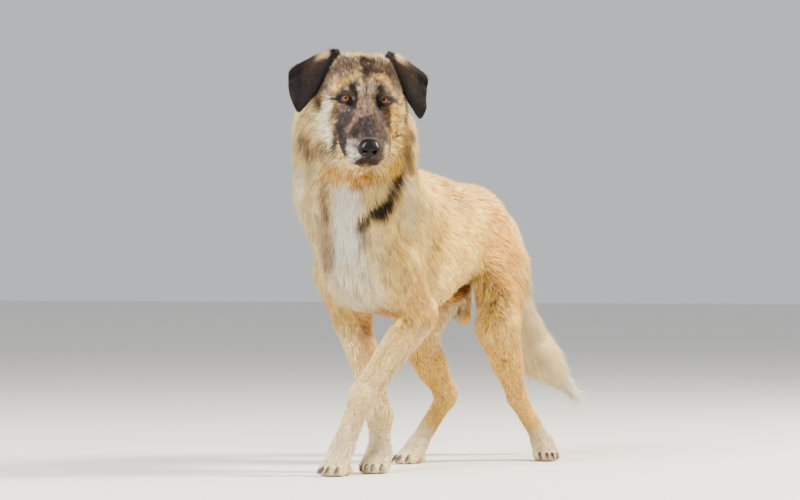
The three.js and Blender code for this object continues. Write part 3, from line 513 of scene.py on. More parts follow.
def body_skin(p):
    d = np.maximum(body_form()(p), 0.3 - p[:, 2])
    close = np.abs(d) < 60
    if close.any():
        d[close] += SET_BACK * coat_lift(p[close], BODY_SHEETS) + 4 * head_share(p[close])
    return d


MOUTH = [(-124, -88), (-102, -95), (-78, -92), (-45, -87), (-14, -76), (6, -63)]


def mouth_gap(q):
    """Distance to the mouth line as seen from the side of the head."""
    p = q[:, 1:]
    best = np.full(len(p), 1e3)
    for a, b in zip(MOUTH, MOUTH[1:]):
        best = np.minimum(best, limb(a, b, 0, 0)(p))
    return best


def head_skin(p):
    """Skull, lids, flews and jaw, set back under the coat, with the lids and the mouth line cut in."""
    q = to_head(p)
    d = skull_form()(p)
    close = np.abs(d) < 40
    if close.any():
        d[close] += SET_BACK * coat_lift(p[close], HEAD_SHEETS) + 3.5 * (1 - head_share(p[close]))
    d = np.maximum(d, 2.6 + np.minimum(d, 0) * 0.34 - mouth_gap(q) - 3 * smooth(q[:, 1], 0, 12))
    for side in SIDES:
        socket = np.linalg.norm(p - eye_at(side), axis=1) - EYE_RADIUS - EYE_GAP
        d = np.maximum(d, -socket)
        d = np.maximum(d, -lid_opening(side)(q))
    room = np.abs(q - (0, 8, -36)) - (150, 148, 128)
    return np.maximum(d, room.max(axis=1))


# ---- Nets over the fields ----
CORNERS = np.array(((1, -1, -1), (-1, -1, 1), (-1, 1, -1), (1, 1, 1)), np.float32)


def probe(field, p, e=0.6):
    """The field and its slope at each point, from four places round it."""
    around = [over(field, p + corner * e) for corner in CORNERS]
    slope = sum(d[:, None] * corner for d, corner in zip(around, CORNERS)) / (4 * e)
    return sum(around) / 4, slope


def layers(axis):
    """What picks all but the last and all but the first layer along an axis."""
    return tuple(tuple(part if k == axis else slice(None) for k in range(3)) for part in (slice(-1), slice(1, None)))


def net(field, low, high, cell):
    """Surface nets: one point in each cell that the surface crosses, drawn onto it, and quads between them."""
    block = 4
    count = np.ceil((high - low) / (cell * block)).astype(int)
    d = over(field, low + (np.indices(count).reshape(3, -1).T + 0.5) * block * cell).reshape(count)

    def spread(values):
        for axis in range(3):
            values = values.repeat(block, axis)
        return np.pad(values, (0, 1), mode="edge")

    near = spread(np.abs(d) < block * cell * 1.3)
    value = np.where(spread(d < 0), -1e3, 1e3)
    for axis in range(3):
        lower, upper = layers(axis)
        near[upper] |= near[lower]
    value[near] = over(field, low + np.argwhere(near) * cell)
    inside = value < 0
    stride = np.array((value.shape[1] * value.shape[2], value.shape[2], 1))
    places, cells, flips = [], [], []
    for axis in range(3):
        lower, upper = layers(axis)
        crossed = np.argwhere(inside[lower] != inside[upper])
        va, vb = value[lower][tuple(crossed.T)], value[upper][tuple(crossed.T)]
        spot = crossed.astype(float)
        spot[:, axis] += np.clip(va / (va - vb), 0, 1)
        b, c = stride[(axis + 1) % 3], stride[(axis + 2) % 3]
        base = crossed @ stride
        places.append(spot)
        cells.append(np.stack([base - b - c, base - c, base, base - b], axis=1))
        flips.append(va > 0)
    places, flips = np.concatenate(places), np.concatenate(flips)
    _, vertex = np.unique(np.concatenate(cells), return_inverse=True)
    quads = vertex.reshape(-1, 4)
    share = np.bincount(quads.ravel())
    points = np.stack([np.bincount(quads.ravel(), places[:, k].repeat(4)) / share for k in range(3)], axis=1)
    points = low + points * cell
    quads[flips] = quads[flips][:, ::-1]
    for evened in (0, 0.5, 0.5):
        points = points * (1 - evened) + neighbours(points, quads) * evened
        d, slope = probe(field, points)
        steep = np.maximum((slope**2).sum(axis=1), 0.25)
        points = points + slope * np.clip(-d / steep, -cell / 3, cell / 3)[:, None]
    return points, quads


def neighbours(points, quads):
    """The mean of the points round each point."""
    ends = quads[:, (1, 2, 3, 0)].ravel()
    starts = quads.ravel()
    share = np.maximum(np.bincount(starts, minlength=len(points)), 1)
    sums = [np.bincount(starts, points[ends, k], minlength=len(points)) for k in range(3)]
    return np.stack(sums, axis=1) / share[:, None]


def bands(index):
    """Quads between rings of points that follow each other, given by their numbers, closed round each ring."""
    after = np.roll(index, -1, axis=1)
    return np.stack([index[:-1], index[1:], after[1:], after[:-1]], axis=-1).reshape(-1, 4)


def crossings(corners):
    """The outward direction of each quad, as long as twice its area."""
    return np.cross(corners[:, 2] - corners[:, 0], corners[:, 3] - corners[:, 1])


def outward(points, faces):
    """The way out of the surface at each point of a net of quads."""
    normal = crossings(points[faces])
    return unit(np.stack([np.bincount(faces.ravel(), normal[:, k].repeat(4), len(points)) for k in range(3)], axis=1))


# ---- Meshes ----
def placed(name, data, material=None):
    """An object in the scene with a mesh, light or camera."""
    if material:
        data.materials.append(material)
    made = bpy.data.objects.new(name, data)
    bpy.context.scene.collection.objects.link(made)
    return made


def mesh_object(name, points, faces, material=None):
    """An object from points in millimetres and faces that all have the same number of corners."""
    mesh = bpy.data.meshes.new(name)
    faces = np.asarray(faces, np.int32)
    mesh.vertices.add(len(points))
    mesh.vertices.foreach_set("co", metres(points).astype(np.float32).ravel())
    mesh.loops.add(faces.size)
    mesh.loops.foreach_set("vertex_index", faces.ravel())
    mesh.polygons.add(len(faces))
    mesh.polygons.foreach_set("loop_start", np.arange(0, faces.size, faces.shape[1], dtype=np.int32))
    mesh.polygons.foreach_set("use_smooth", np.ones(len(faces), bool))
    mesh.update(calc_edges=True)
    return placed(name, mesh, material)


def corner_points(mesh):
    """The number of the point at each corner of each face."""
    numbers = np.empty(len(mesh.loops), int)
    mesh.loops.foreach_get("vertex_index", numbers)
    return numbers


def set_values(made, name, values):
    """A named attribute on the points of an object: colours with four numbers or vectors with three."""
    kind, key = ("FLOAT_COLOR", "color") if values.shape[1] == 4 else ("FLOAT_VECTOR", "vector")
    layer = made.data.attributes.new(name, kind, "POINT")
    layer.data.foreach_set(key, np.asarray(values, np.float32).ravel())


def set_uv(made, coordinates):
    """The OFBake map, from one pair of coordinates for each corner of each face."""
    layer = made.data.uv_layers.new(name="OFBake")
    layer.uv.foreach_set("vector", np.asarray(coordinates, np.float32).ravel())


def unwrap(points, faces, groups=None, sheets=None):
    """Lays the faces of each group flat by the axis that they face most, and packs each sheet's charts in a square."""
    groups, sheets = (np.zeros(len(faces), int) if part is None else part for part in (groups, sheets))
    corners = points[faces]
    normal = crossings(corners)
    axis = np.abs(normal).argmax(axis=1)
    side = np.take_along_axis(normal, axis[:, None], 1)[:, 0] > 0
    chart = groups * 6 + axis * 2 + side
    flat = np.empty(corners.shape[:2] + (2,))
    for k in range(3):
        chosen = axis == k
        flat[chosen] = corners[chosen][:, :, ((k + 1) % 3, (k + 2) % 3)]
    flat[~side, :, 0] *= -1
    for sheet in np.unique(sheets):
        charts = np.unique(chart[sheets == sheet])
        boxes = []
        for c in charts:
            laid = flat[(chart == c) & (sheets == sheet)].reshape(-1, 2)
            boxes.append((laid.min(axis=0), laid.max(axis=0)))
        sizes = np.array([high - low for low, high in boxes]) + 4
        width = max(math.sqrt(sizes.prod(axis=1).sum()) * 1.12, sizes[:, 0].max())
        x = y = row = 0.0
        spots = {}
        for k in np.argsort(-sizes[:, 1]):
            if x + sizes[k, 0] > width:
                x, y, row = 0.0, y + row, 0.0
            spots[charts[k]] = np.array((x, y)) + 2 - boxes[k][0]
            x, row = x + sizes[k, 0], max(row, sizes[k, 1])
        scale = 1 / max(width, y + row)
        for c, shift in spots.items():
            chosen = (chart == c) & (sheets == sheet)
            flat[chosen] = (flat[chosen] + shift) * scale
    return flat


# ---- Markings, with some painted shade and highlights ----
def ink(r, g, b):
    """A colour given as 0 to 255 on a screen, as linear light."""
    c = np.array((r, g, b)) / 255
    return np.where(c < 0.04045, c / 12.92, ((c + 0.055) / 1.055) ** 2.4)


def ragged(p, scale=28.0):
    """A smooth uneven value from about -1 to 1, for the edges of markings."""
    q = p / scale
    a = np.sin(q[:, 0] * 1.7 + 1.3 * np.sin(q[:, 2] * 1.1 + 2)) * np.sin(q[:, 1] * 1.3 + 1.7 * np.sin(q[:, 0] * 0.9))
    b = np.sin(q[:, 2] * 2.3 + 1.1 * np.sin(q[:, 1] * 2.1)) * np.sin(q[:, 0] * 2.9 + q[:, 1] * 1.9)
    return 0.65 * a + 0.5 * b


FAWN, GOLD, TAN = (226, 198, 148), (224, 188, 126), (214, 168, 108)
CREAM, WHITE, SNOW = (236, 220, 192), (240, 228, 206), (248, 242, 232)
GRIZZLE, CHARCOAL, BROWN = (178, 152, 120), (58, 50, 47), (140, 104, 70)


def dye(colour):
    """A colour of the coat, deeper and richer than on the screen to make up for the light tips of its hairs."""
    deep = ink(*colour) ** 1.3
    return np.clip(deep + 0.42 * (deep - deep.mean()), 0.003, 1)


def run(points, radius):
    """A line of one or more points as a field. The radius may be a pair, for its two ends."""
    points = points * 2 if len(points) == 1 else points
    radii = np.linspace(*(radius if isinstance(radius, tuple) else (radius, radius)), len(points))
    forms = [limb(a, b, ra, rb) for a, b, ra, rb in zip(points, points[1:], radii, radii[1:])]
    return lambda p: np.min([form(p) for form in forms], axis=0)


@functools.cache
def strokes():
    """The markings, with some painted shade and highlights among them, in the order in which they are laid on: colour,
    form, softness, strength and unevenness.
    """
    made = []

    def body(colour, radius, soft, strength, uneven, *points):
        made.append((dye(colour), run(points, radius), soft, strength, uneven))

    def face(*given):
        body(*given[:5], *(in_head(*at) for at in given[5:]))

    def mirrored(*given):
        for s in SIDES:
            face(*given[:5], *((s * x, y, z) for x, y, z in given[5:]))

    # Trunk
    body(GRIZZLE, (70, 60), 90, 0.5, 14, (0, -60, 700), (0, 300, 670))
    body(BROWN, (24, 18), 50, 0.4, 16, (70, -20, 640), (84, 60, 600))
    body(BROWN, (10, 8), 22, 0.5, 12, (118, -190, 610), (112, -170, 520))
    body(BROWN, (8, 10), 20, 0.4, 12, (116, -110, 600), (110, -90, 500))
    body((186, 138, 78), (56, 52), 60, 0.9, 12, (0, -200, 320), (0, 180, 380))
    for s in SIDES:
        hind, fore = HIND[s], FORE[s]
        hock, knee = hind["hock"], hind["knee"]
        body(GOLD, 50, 80, 0.5, 18, (s * 100, -120, 520), (s * 96, 150, 520))
        body((212, 166, 104), (52, 44), 60, 0.75, 14, (s * 100, 210, 560), (s * 116, 180, 460), (s * 122, 220, 370))
        body(CREAM, (40, 38), 46, 0.9, 10, (s * 40, 230, 420), (s * 56, knee[1] + 30, 300))
        body(CREAM, (40, 34), 44, 0.75, 10, (s * 60, 400, 540), (s * 60, knee[1] + 150, 350))
        body(TAN, (46, 24), 40, 0.45, 8, knee, middle(knee, hock, 0.7))
        body((228, 196, 144), (34, 40), 50, 0.9, 8, middle(knee, hock, 0.55), hock)
        body((232, 204, 156), (44, 50), 30, 0.92, 5, hock, hind["knuckle"])
        body(WHITE, 46, 30, 0.9, 5, hind["knuckle"], hind["toe"])
        body((214, 164, 104), 32, 46, 0.7, 10, np.add(fore["shoulder"], (s * 20, 20, -30)),
             np.add(fore["elbow"], (s * 16, 10, -30)))
        body((240, 220, 188), (52, 44), 60, 0.92, 8, np.add(fore["elbow"], (0, -10, -70)), fore["wrist"])
        body((240, 222, 190), (48, 52), 30, 0.95, 5, fore["wrist"], fore["knuckle"])
        body(WHITE, 48, 30, 0.9, 5, fore["knuckle"], fore["toe"])
    body(BROWN, (12, 9), 18, 0.45, 5, (60, -300, 200), (56, -312, 176))
    # Chest and neck
    body((214, 192, 160), (120, 130), 60, 0.75, 14, (0, -300, 640), (0, -330, 740))
    body(CREAM, (84, 80), 70, 0.9, 14, (0, -340, 560), (0, -330, 380))
    body((238, 222, 198), (32, 34), 36, 0.95, 10, (-92, -368, 664), (-92, -350, 570))
    body((226, 206, 176), (26, 28), 34, 0.85, 10, (130, -300, 660), (112, -280, 570))
    body((255, 250, 242), (25, 44), 30, 0.98, 9, (38, -400, 625), (14, -372, 440))
    body(WHITE, (60, 66), 50, 0.8, 9, (14, -360, 420), (20, -320, 330))
    body((112, 96, 86), (12, 14), 22, 0.9, 9, (-19, -395, 668), (-14, -408, 580))
    body((122, 104, 88), (15, 26), 34, 0.78, 12, (-14, -408, 580), (-40, -355, 480))
    body((34, 27, 23), (14, 17), 20, 0.95, 9, (112, -310, 672), (100, -350, 600))
    body((38, 30, 26), (17, 14), 22, 0.92, 9, (100, -350, 600), (62, -384, 556))
    body((38, 30, 25), (19, 20), 20, 0.96, 9, (124, -322, 660), (124, -352, 612), (102, -366, 582))
    body((84, 68, 56), (13, 14), 30, 0.7, 10, (62, -384, 556), (54, -352, 500))
    body(CHARCOAL, 9, 16, 0.5, 5, (16, -340, 402))
    # Head, from the back forward
    face((120, 111, 104), 104, 50, 0.95, 5, (0, 60, 10), (0, 90, 10))
    face((178, 160, 140), 9, 16, 0.7, 6, (-18, 40, 58), (-44, 32, 46), (-62, 30, 28))
    mirrored((198, 174, 142), (26, 34), 30, 0.8, 8, (96, 50, -30), (102, 54, -104))
    face((230, 206, 176), 14, 20, 0.92, 4, (-52, 92, 50), (0, 94, 60), (48, 96, 50))
    mirrored((108, 94, 82), 16, 30, 0.6, 5, (88, 56, -2), (76, 60, 18), (56, 50, 40), (30, 44, 52))
    # The right forehead is darker: partly its dark grizzle and partly painted shade.
    face((92, 80, 68), 17, 22, 0.8, 7, (46, 48, 44), (62, 56, 34), (76, 48, 8))
    face((72, 66, 60), (20, 16), 22, 0.8, 8, (26, 44, 56), (56, 36, 42), (80, 26, 14))
    # Temples
    face((76, 68, 62), (14, 15), 16, 0.9, 7, (-66, 80, 30), (-82, 64, 10), (-92, 44, -14), (-92, 30, -42))
    face((70, 60, 50), (13, 12), 18, 0.8, 8, (62, 72, 36), (84, 62, 10), (98, 50, -20))
    # Brows
    face((208, 176, 130), (8, 8.5), 12, 0.9, 4, (-22, 22, 50), (-38, 16, 42), (-57, 14, 28), (-67, 16, 12))
    # The right brow is darker than the left: a tan mark with painted shade over it.
    face((172, 146, 106), 8, 12, 0.85, 4, (18, 16, 47), (42, 24, 42), (54, 14, 30))
    face((196, 166, 112), 2.6, 4, 0.8, 1, (43, 10, 38), (55, 6, 25), (67, 10, 8))
    face((236, 212, 164), 1.9, 3, 0.9, 0.6, (-14, 3, 41), (-7, -3, 34), (0, -8, 27))
    # Cheeks
    face((156, 134, 116), 9, 9, 0.7, 3, (-60, -2, -22), (-61, 2, -50))
    face((255, 238, 210), (10, 12), 12, 1.0, 5, (-76, 10, -22), (-80, 16, -55), (-80, 13, -81), (-67, -6, -97),
         (-61, -16, -111))
    face((22, 18, 17), 3.2, 4, 0.9, 1, (-84, 20, -62))
    face((84, 64, 46), (12, 11), 10, 0.92, 3, (46, -11, -16), (54, -8, -36), (58, -10, -56), (62, -16, -76))
    # The right cheek's gold stripe is darkened: a real stripe with painted shade over it.
    face((150, 126, 76), (10, 12), 11, 0.95, 4, (74, 6, -20), (79, 9, -47), (76, -4, -64), (69, -16, -78))
    face((128, 110, 80), 14, 16, 0.8, 6, (80, -2, -92), (70, -10, -116))
    # Dark marks round the eyes and down the sides of the face
    face((132, 122, 116), (12, 15), 12, 0.93, 6, (-38, -14, -12), (-46, -10, -34), (-49, -8, -70), (-48, -10, -118))
    mirrored((60, 51, 50), (10, 12), 8, 0.95, 1.5, (29, -18, -4), (44, -14, 3), (57, -6, 1))
    face((34, 27, 26), (4.5, 6), 6, 0.95, 1.5, (-23, -14, 17), (-21, -18, 5), (-26, -24, -10))
    face((30, 24, 23), (5, 6), 6, 0.95, 1.5, (26, -14, 14), (25, -19, -2), (34, -19, -20), (42, -17, -41))
    face((20, 16, 15), (8.5, 8), 10, 0.97, 3.5, (-31, -3, 33), (-29, -8, 28), (-25, -11, 20))
    face((26, 21, 20), (7.5, 7.5), 10, 0.95, 3.5, (29, -5, 32), (34, -9, 25), (31, -12, 18))
    mirrored((74, 60, 56), 8, 7, 0.9, 1.5, (33, -13, 16), (50, -6, 15))
    mirrored((14, 11, 12), (7, 8), 5, 0.97, 0.8, (31, -18, -3), (42, -13, 6), (54, -7, 1))
    face((14, 11, 11), (4, 2.2), 4, 0.97, 1, (-54, -5, 4), (-68, 4, -7), (-84, 18, -18))
    face((22, 18, 17), (4.5, 3), 5, 0.92, 1, (54, -3, 8), (75, 9, -10), (84, 20, -22))
    # The muzzle: dark sides, a grizzled bridge, and a light front, with painted shade and a painted highlight by its
    # right edge
    face((84, 79, 80), (56, 60), 13, 0.97, 4, (0, -16, -62), (0, -50, -54), (0, -104, -52))
    face((62, 57, 58), 12, 9, 0.92, 4, (-47, -8, -70), (-48, -8, -94), (-50, -12, -106), (-46, -10, -128))
    face((50, 46, 49), (12, 17), 14, 0.92, 5, (-46, -56, -60), (-44, -104, -66))
    face((50, 46, 48), (12, 16), 14, 0.92, 5, (44, -60, -62), (42, -96, -70))
    # A dark run beside the muzzle's right edge: painted shade beside the fold to the cheek.
    face((58, 44, 34), (5, 6), 8, 0.85, 2, (58, -10, -50), (62, -16, -78), (64, -16, -110))
    face((142, 129, 120), (13, 17), 13, 0.95, 5, (0, -4, 33), (-4, -26, 8), (-6, -46, -6))
    face((42, 31, 27), (12, 10), 13, 0.95, 5, (-3, 76, 64), (-3, 55, 65), (-2, 24, 55))
    mirrored((196, 174, 140), 4, 7, 0.6, 2, (15, 24, 53), (12, 4, 41))
    face((48, 39, 35), (9, 5), 8, 1.0, 2.5, (-2, 34, 58), (-1, 14, 49), (-1, 4, 42), (0, -7, 30))
    face((146, 126, 114), (9, 6), 12, 0.85, 4, (-14, -40, -6), (-30, -62, -24), (-42, -80, -36))
    face((128, 110, 98), 5, 10, 0.7, 4, (20, -40, -10), (28, -62, -20))
    face((82, 77, 81), (9, 14), 14, 0.85, 4, (4, -80, -8), (2, -96, -14), (0, -120, -20))
    face((42, 35, 36), 6, 9, 0.7, 3, (-27, -96, -27), (-30, -106, -32))
    # A pale line along the muzzle's right top edge: painted highlight.
    face((150, 130, 106), 3, 6, 0.55, 2, (24, -27, -8), (40, -50, -31), (46, -78, -40))
    face((146, 130, 108), 4, 9, 0.45, 3, (46, -78, -40), (47, -110, -50))
    # A black line in the fold between the muzzle and the right cheek: painted shade.
    face((18, 14, 14), (4, 7), 5, 0.95, 1.5, (54, -14, -52), (54, -16, -76), (48, -14, -106))
    face((240, 230, 224), (7, 11), 21, 0.9, 10, (-36, -119, -58), (-33, -127, -70), (-38, -116, -84))
    face((170, 158, 154), 5, 12, 0.6, 6, (-24, -128, -38), (-40, -112, -46))
    # The light patch on the right of the muzzle is darkened: a real light patch with painted shade over it.
    face((192, 176, 140), (6, 8), 13, 0.9, 5, (38, -119, -50), (40, -122, -68), (36, -120, -82))
    face((60, 55, 56), (15, 17), 12, 0.97, 3, (-52, -26, -70), (-54, -56, -62), (-54, -78, -68), (-48, -100, -74))
    # Lips and chin
    face((210, 174, 156), 4.5, 6, 0.7, 2, (-34, -118, -86), (-34, -96, -88))
    face((236, 210, 172), (24, 34), 14, 0.9, 4, (0, -96, -118), (0, -30, -126))
    face((176, 132, 104), 4.5, 5, 0.8, 1.5, (-16, -112, -105), (16, -112, -105))
    mirrored((18, 13, 13), 4.4, 3.5, 0.95, 0.8, *((x - 3, y, z - 7.5) for x, y, z in LIP_LINE[1:]))
    face((74, 58, 60), 8, 7, 0.95, 1.5, (-15, -131, -82), (0, -136, -72), (15, -131, -82))
    face((30, 20, 20), 2.4, 3, 0.95, 0.8, (-13, -131, -88), (0, -134, -86), (13, -131, -88))
    face((8, 6, 6), 20, 3, 1, 0, (0, -120, -48))
    # Ruff
    face((116, 104, 94), 17, 30, 0.66, 9, (-62, -8, -144), (-77, -2, -122), (-98, 26, -138), (-108, 44, -128))
    # The right side of the ruff is darker: partly dark grizzle and partly painted shade.
    face((100, 84, 60), 21, 32, 0.85, 14, (103, 16, -76), (92, -10, -96), (100, -6, -134), (104, 10, -160))
    face((214, 170, 104), (15, 14), 16, 0.92, 7, (-66, -27, -163), (-34, -60, -162), (-8, -80, -160), (32, -68, -166),
         (60, -48, -156), (84, -39, -130))
    # A thin dark line between the gold band and the white below: painted shadow.
    face((92, 70, 52), 4.5, 8, 0.75, 4, (-43, -66, -192), (8, -84, -186), (36, -84, -184))
    # Tail
    body(CREAM, 60, 40, 0.9, 12, (0, 400, 580), (0, 440, 430), (30, 500, 250), (80, 590, 150))
    body(TAN, 16, 40, 0.5, 14, (-20, 430, 380), (20, 490, 240))
    body(SNOW, (30, 40), 50, 0.9, 8, (60, 560, 190), (90, 600, 140))
    return made


def pelt(p):
    """The coat's colour at each point."""
    colour = np.tile(dye(FAWN), (len(p), 1))
    rough, fine = ragged(p), ragged(p, 9.0)
    for tone, form, soft, strength, uneven in strokes():
        d = form(p) + uneven * (0.6 * rough + 0.4 * fine)
        share = strength * (1 - smooth(d, -soft / 2, soft / 2))
        colour += (tone - colour) * share[:, None]
    return np.clip(colour * (1 + 0.13 * rough + 0.12 * fine)[:, None], 0, 1)


def dark_tips(p):
    """How black the tips of the hair are, from 0 to 1: most on the back, flanks and ruff."""
    q = to_head(p)
    share = 0.2 * smooth(p[:, 2], 380, 560) + 0.5 * smooth(-p[:, 1], 180, 320) * smooth(p[:, 2], 560, 660)
    share *= 1 - 0.4 * smooth(-q[:, 1], -70, 0) * smooth(-p[:, 1], 250, 330)
    return np.clip(share + 0.25 * ragged(p, 46.0) * smooth(p[:, 2], 300, 480), 0, 0.9)


def tinted(colours):
    """The colours with an alpha of one."""
    return np.concatenate([colours, np.ones((len(colours), 1))], axis=1)


# ---- Hair ----
NAP_SHARE = 1.2  # how far the light treats a tuft as part of the coat's surface, next to its own sides
LENGTHS, WIDTHS, LIFTS = (0.62, 1.2), (0.65, 1.15), (0.742, 1.166)  # how much single tufts differ
LOOSE_SHARE, LOOSE_STRAY, LOOSE_WIDTH, LOOSE_LIFT = 0.1, 1.8, 0.6, 1.9  # the tufts that stand off the rest
ROOT_DEPTH, FLOOR_GAP = 0.6, 0.8  # millimetres that a root lies under the skin and a tuft stays above the floor
BLADE_FACES = np.array([(0, 2, 1), (0, 1, 3), (1, 2, 3), (2, 0, 3)])
BLADE_PATCH = np.array([(0, 0), (0, 0.5), (0, 1), (1, 0)]) * 0.003 - 0.0015
BLADE_STEPS = (0, 0, 0, 1)


def roots_on(points, faces, uv, count, seed, weight):
    """Evenly strewn roots on quads, with their outward directions and their places on the map."""
    random = np.random.default_rng(seed)
    corners = points[faces]
    normal = crossings(corners)
    total = np.cumsum(np.linalg.norm(normal, axis=1) * weight)
    picks = (np.arange(count) + random.random(count)) * total[-1] / count
    chosen = np.clip(np.searchsorted(total, picks), 0, len(faces) - 1)
    s, t = random.random((2, count))
    w = np.stack([(1 - s) * (1 - t), s * (1 - t), s * t, (1 - s) * t], axis=1)[:, :, None]
    return (corners[chosen] * w).sum(axis=1), unit(normal[chosen]), (uv[chosen] * w).sum(axis=1)


def wander(p, apart, scale):
    """An uneven vector for each point, for the swirls of the coat."""
    return np.stack([ragged(p + k * apart, scale) for k in range(3)], axis=1)


def grow(name, roots, up, spots, seed, growth, coat=None, field=None, colour=None, tips=None):
    """One piece of coat. Each tuft is a tapered, three-sided blade that runs along the lie of the coat, rises from the
    skin and gathers in a clump."""
    random = np.random.default_rng(seed)
    count = len(roots)
    lie, length, lift, width = coat_at(roots)[:4] if coat is None else coat
    loose = random.random(count) < LOOSE_SHARE
    lie = lie + random.normal(0, growth.stray, (count, 3)) * np.where(loose, LOOSE_STRAY, 1)[:, None]
    lie = lie + 0.12 * wander(roots, 37, 30.0)
    length = length * random.uniform(*LENGTHS, count)
    width = width * random.uniform(*WIDTHS, count) * np.where(loose, LOOSE_WIDTH, 1)
    lift = lift * random.uniform(*LIFTS, count) * np.where(loose, LOOSE_LIFT, 1)
    random.random(count)  # not used: it keeps the draws below as they are
    along = unit(lie - (lie * up).sum(axis=1, keepdims=True) * up)
    ends, top_up = roots + along * length[:, None], up
    if field:
        height, top_up = probe(field, ends, 1.0)
        top_up = unit(top_up)
        lift = np.clip(over(field, roots) + lift - height, -30, 30)
    ends = ends + top_up * lift[:, None]
    _, member = np.unique(np.floor((roots + 5 * wander(roots, 53, 17.0)) / growth.clump), axis=0, return_inverse=True)
    member = member.ravel()
    sizes = np.bincount(member)
    mean = np.stack([np.bincount(member, ends[:, k]) / sizes for k in range(3)], axis=1)
    ends += (mean[member] - ends) * growth.gather
    starts = roots - up * ROOT_DEPTH
    for part in (starts, ends):
        part[:, 2] = np.maximum(part[:, 2], FLOOR_GAP)
    side, top = (v * width[:, None] / 2 for v in (np.cross(along, up), up))
    points = np.stack([starts - side - top * 0.3, starts + side - top * 0.3, starts + top * 0.7, ends], axis=1)
    faces = (np.arange(count)[:, None, None] * 4 + BLADE_FACES).reshape(-1, 3)
    made = mesh_object(name, points.reshape(-1, 3), faces, coat_finish())
    set_uv(made, np.clip(spots[:, None] + BLADE_PATCH, 0, 1).reshape(-1, 2)[faces])
    colour = pelt(roots * 0.45 + ends * 0.55) if colour is None else colour.copy()
    tips = (dark_tips(roots) if tips is None else tips) * (1 - 0.8 * smooth(colour.mean(axis=1), 0.24, 0.5))
    pale = np.clip(colour.mean(axis=1) * 9 - 0.3, 0.1, 1) * (random.random(count) < growth.pale)
    tips = np.clip(tips * random.uniform(0.1, 1.5, count), 0, 1) - 0.75 * pale * random.uniform(0.5, 1, count)
    lock = np.exp(random.normal(0, growth.speckle * 0.8, len(sizes)))[member]
    colour *= (lock * np.exp(random.normal(0, growth.speckle, count)))[:, None]
    set_values(made, "pelt", tinted(np.clip(colour, 0, 1)).repeat(4, axis=0))
    strand = [np.tile(BLADE_STEPS, count), random.random(count).repeat(4), tips.repeat(4)]
    set_values(made, "strand", np.stack(strand, axis=1))
    set_values(made, "nap", NAP_SHARE * np.stack([up, up, up, top_up], axis=1).reshape(-1, 3))
    return made


# ---- Materials ----
class Wire:
    """A node's output, with arithmetic that adds Math nodes."""

    def __init__(self, graph, socket):
        self.graph, self.socket = graph, socket

    def maths(self, operation, *values):
        return self.graph.node("ShaderNodeMath", {"operation": operation}, dict(enumerate(values)))

    def __add__(self, other):
        return self.maths("ADD", self, other)

    def __mul__(self, other):
        return self.maths("MULTIPLY", self, other)

    def __rsub__(self, other):
        return self.maths("SUBTRACT", other, self)

    def __truediv__(self, other):
        return self.maths("DIVIDE", self, other)

    __radd__, __rmul__ = __add__, __mul__

    def between(self, low, high):
        """0 below low, 1 above high and smooth in between."""
        return self.graph.node("ShaderNodeMapRange", {"interpolation_type": "SMOOTHSTEP"},
                               {"Value": self, "From Min": low, "From Max": high})


class Graph:
    """A node tree: a new material's, or the one given."""

    def __init__(self, name, tree=None):
        if tree is None:
            self.material = bpy.data.materials.new(name)
            self.material.use_nodes = True
            tree = self.material.node_tree
            tree.nodes.clear()
        self.tree = tree

    def node(self, kind, settings=None, inputs=None, output=0):
        """Adds a node with its settings made first and then its sockets given values or links."""
        made = self.tree.nodes.new(kind)
        for key, value in (settings or {}).items():
            setattr(made, key, value)
        for key, value in (inputs or {}).items():
            if isinstance(value, Wire):
                self.tree.links.new(value.socket, made.inputs[key])
            else:
                made.inputs[key].default_value = value
        return Wire(self, made.outputs[output])

    def attribute(self, name, output="Color"):
        return self.node("ShaderNodeAttribute", {"attribute_name": name}, output=output)

    def parts(self, vector):
        return [self.node("ShaderNodeSeparateXYZ", None, {0: vector}, k) for k in range(3)]

    def place(self):
        return self.node("ShaderNodeTexCoord", output="Object")

    def noise(self, where, scale, detail=3.0, roughness=0.5):
        return self.node("ShaderNodeTexNoise", None,
                         {"Vector": where, "Scale": scale, "Detail": detail, "Roughness": roughness})

    def mix(self, factor, a, b, blend="MIX"):
        """Mixes two colours."""
        return self.node("ShaderNodeMix", {"data_type": "RGBA", "blend_type": blend}, {0: factor, 6: a, 7: b}, 2)

    def vary(self, share, colour, pattern, low, high):
        """Multiplies a colour by a share of a pattern that runs between two tints."""
        return self.mix(share, colour, self.mix(pattern, linear(low), linear(high)), "MULTIPLY")

    def vector(self, operation, *values):
        return self.node("ShaderNodeVectorMath", {"operation": operation}, dict(enumerate(values)))

    def bump(self, height, distance, strength):
        return self.node("ShaderNodeBump", None, {"Height": height, "Distance": distance, "Strength": strength})

    def finish(self, colour, roughness=0.6, **inputs):
        """The surface shader. Names of its sockets are given with _ for spaces."""
        sockets = {"Base Color": colour, "Roughness": roughness}
        sockets.update({key.replace("_", " "): value for key, value in inputs.items()})
        shader = self.node("ShaderNodeBsdfPrincipled", None, sockets)
        output = self.tree.nodes.new("ShaderNodeOutputMaterial")
        self.tree.links.new(shader.socket, output.inputs["Surface"])
        return self.material


def linear(colour, share=1.0):
    """Linear light, or a share of it, as a colour socket takes it."""
    return (*[float(c) * share for c in colour], 1.0)


def paint(r, g, b):
    """A colour given as 0 to 255 on a screen, as a colour socket takes it."""
    return linear(ink(r, g, b))


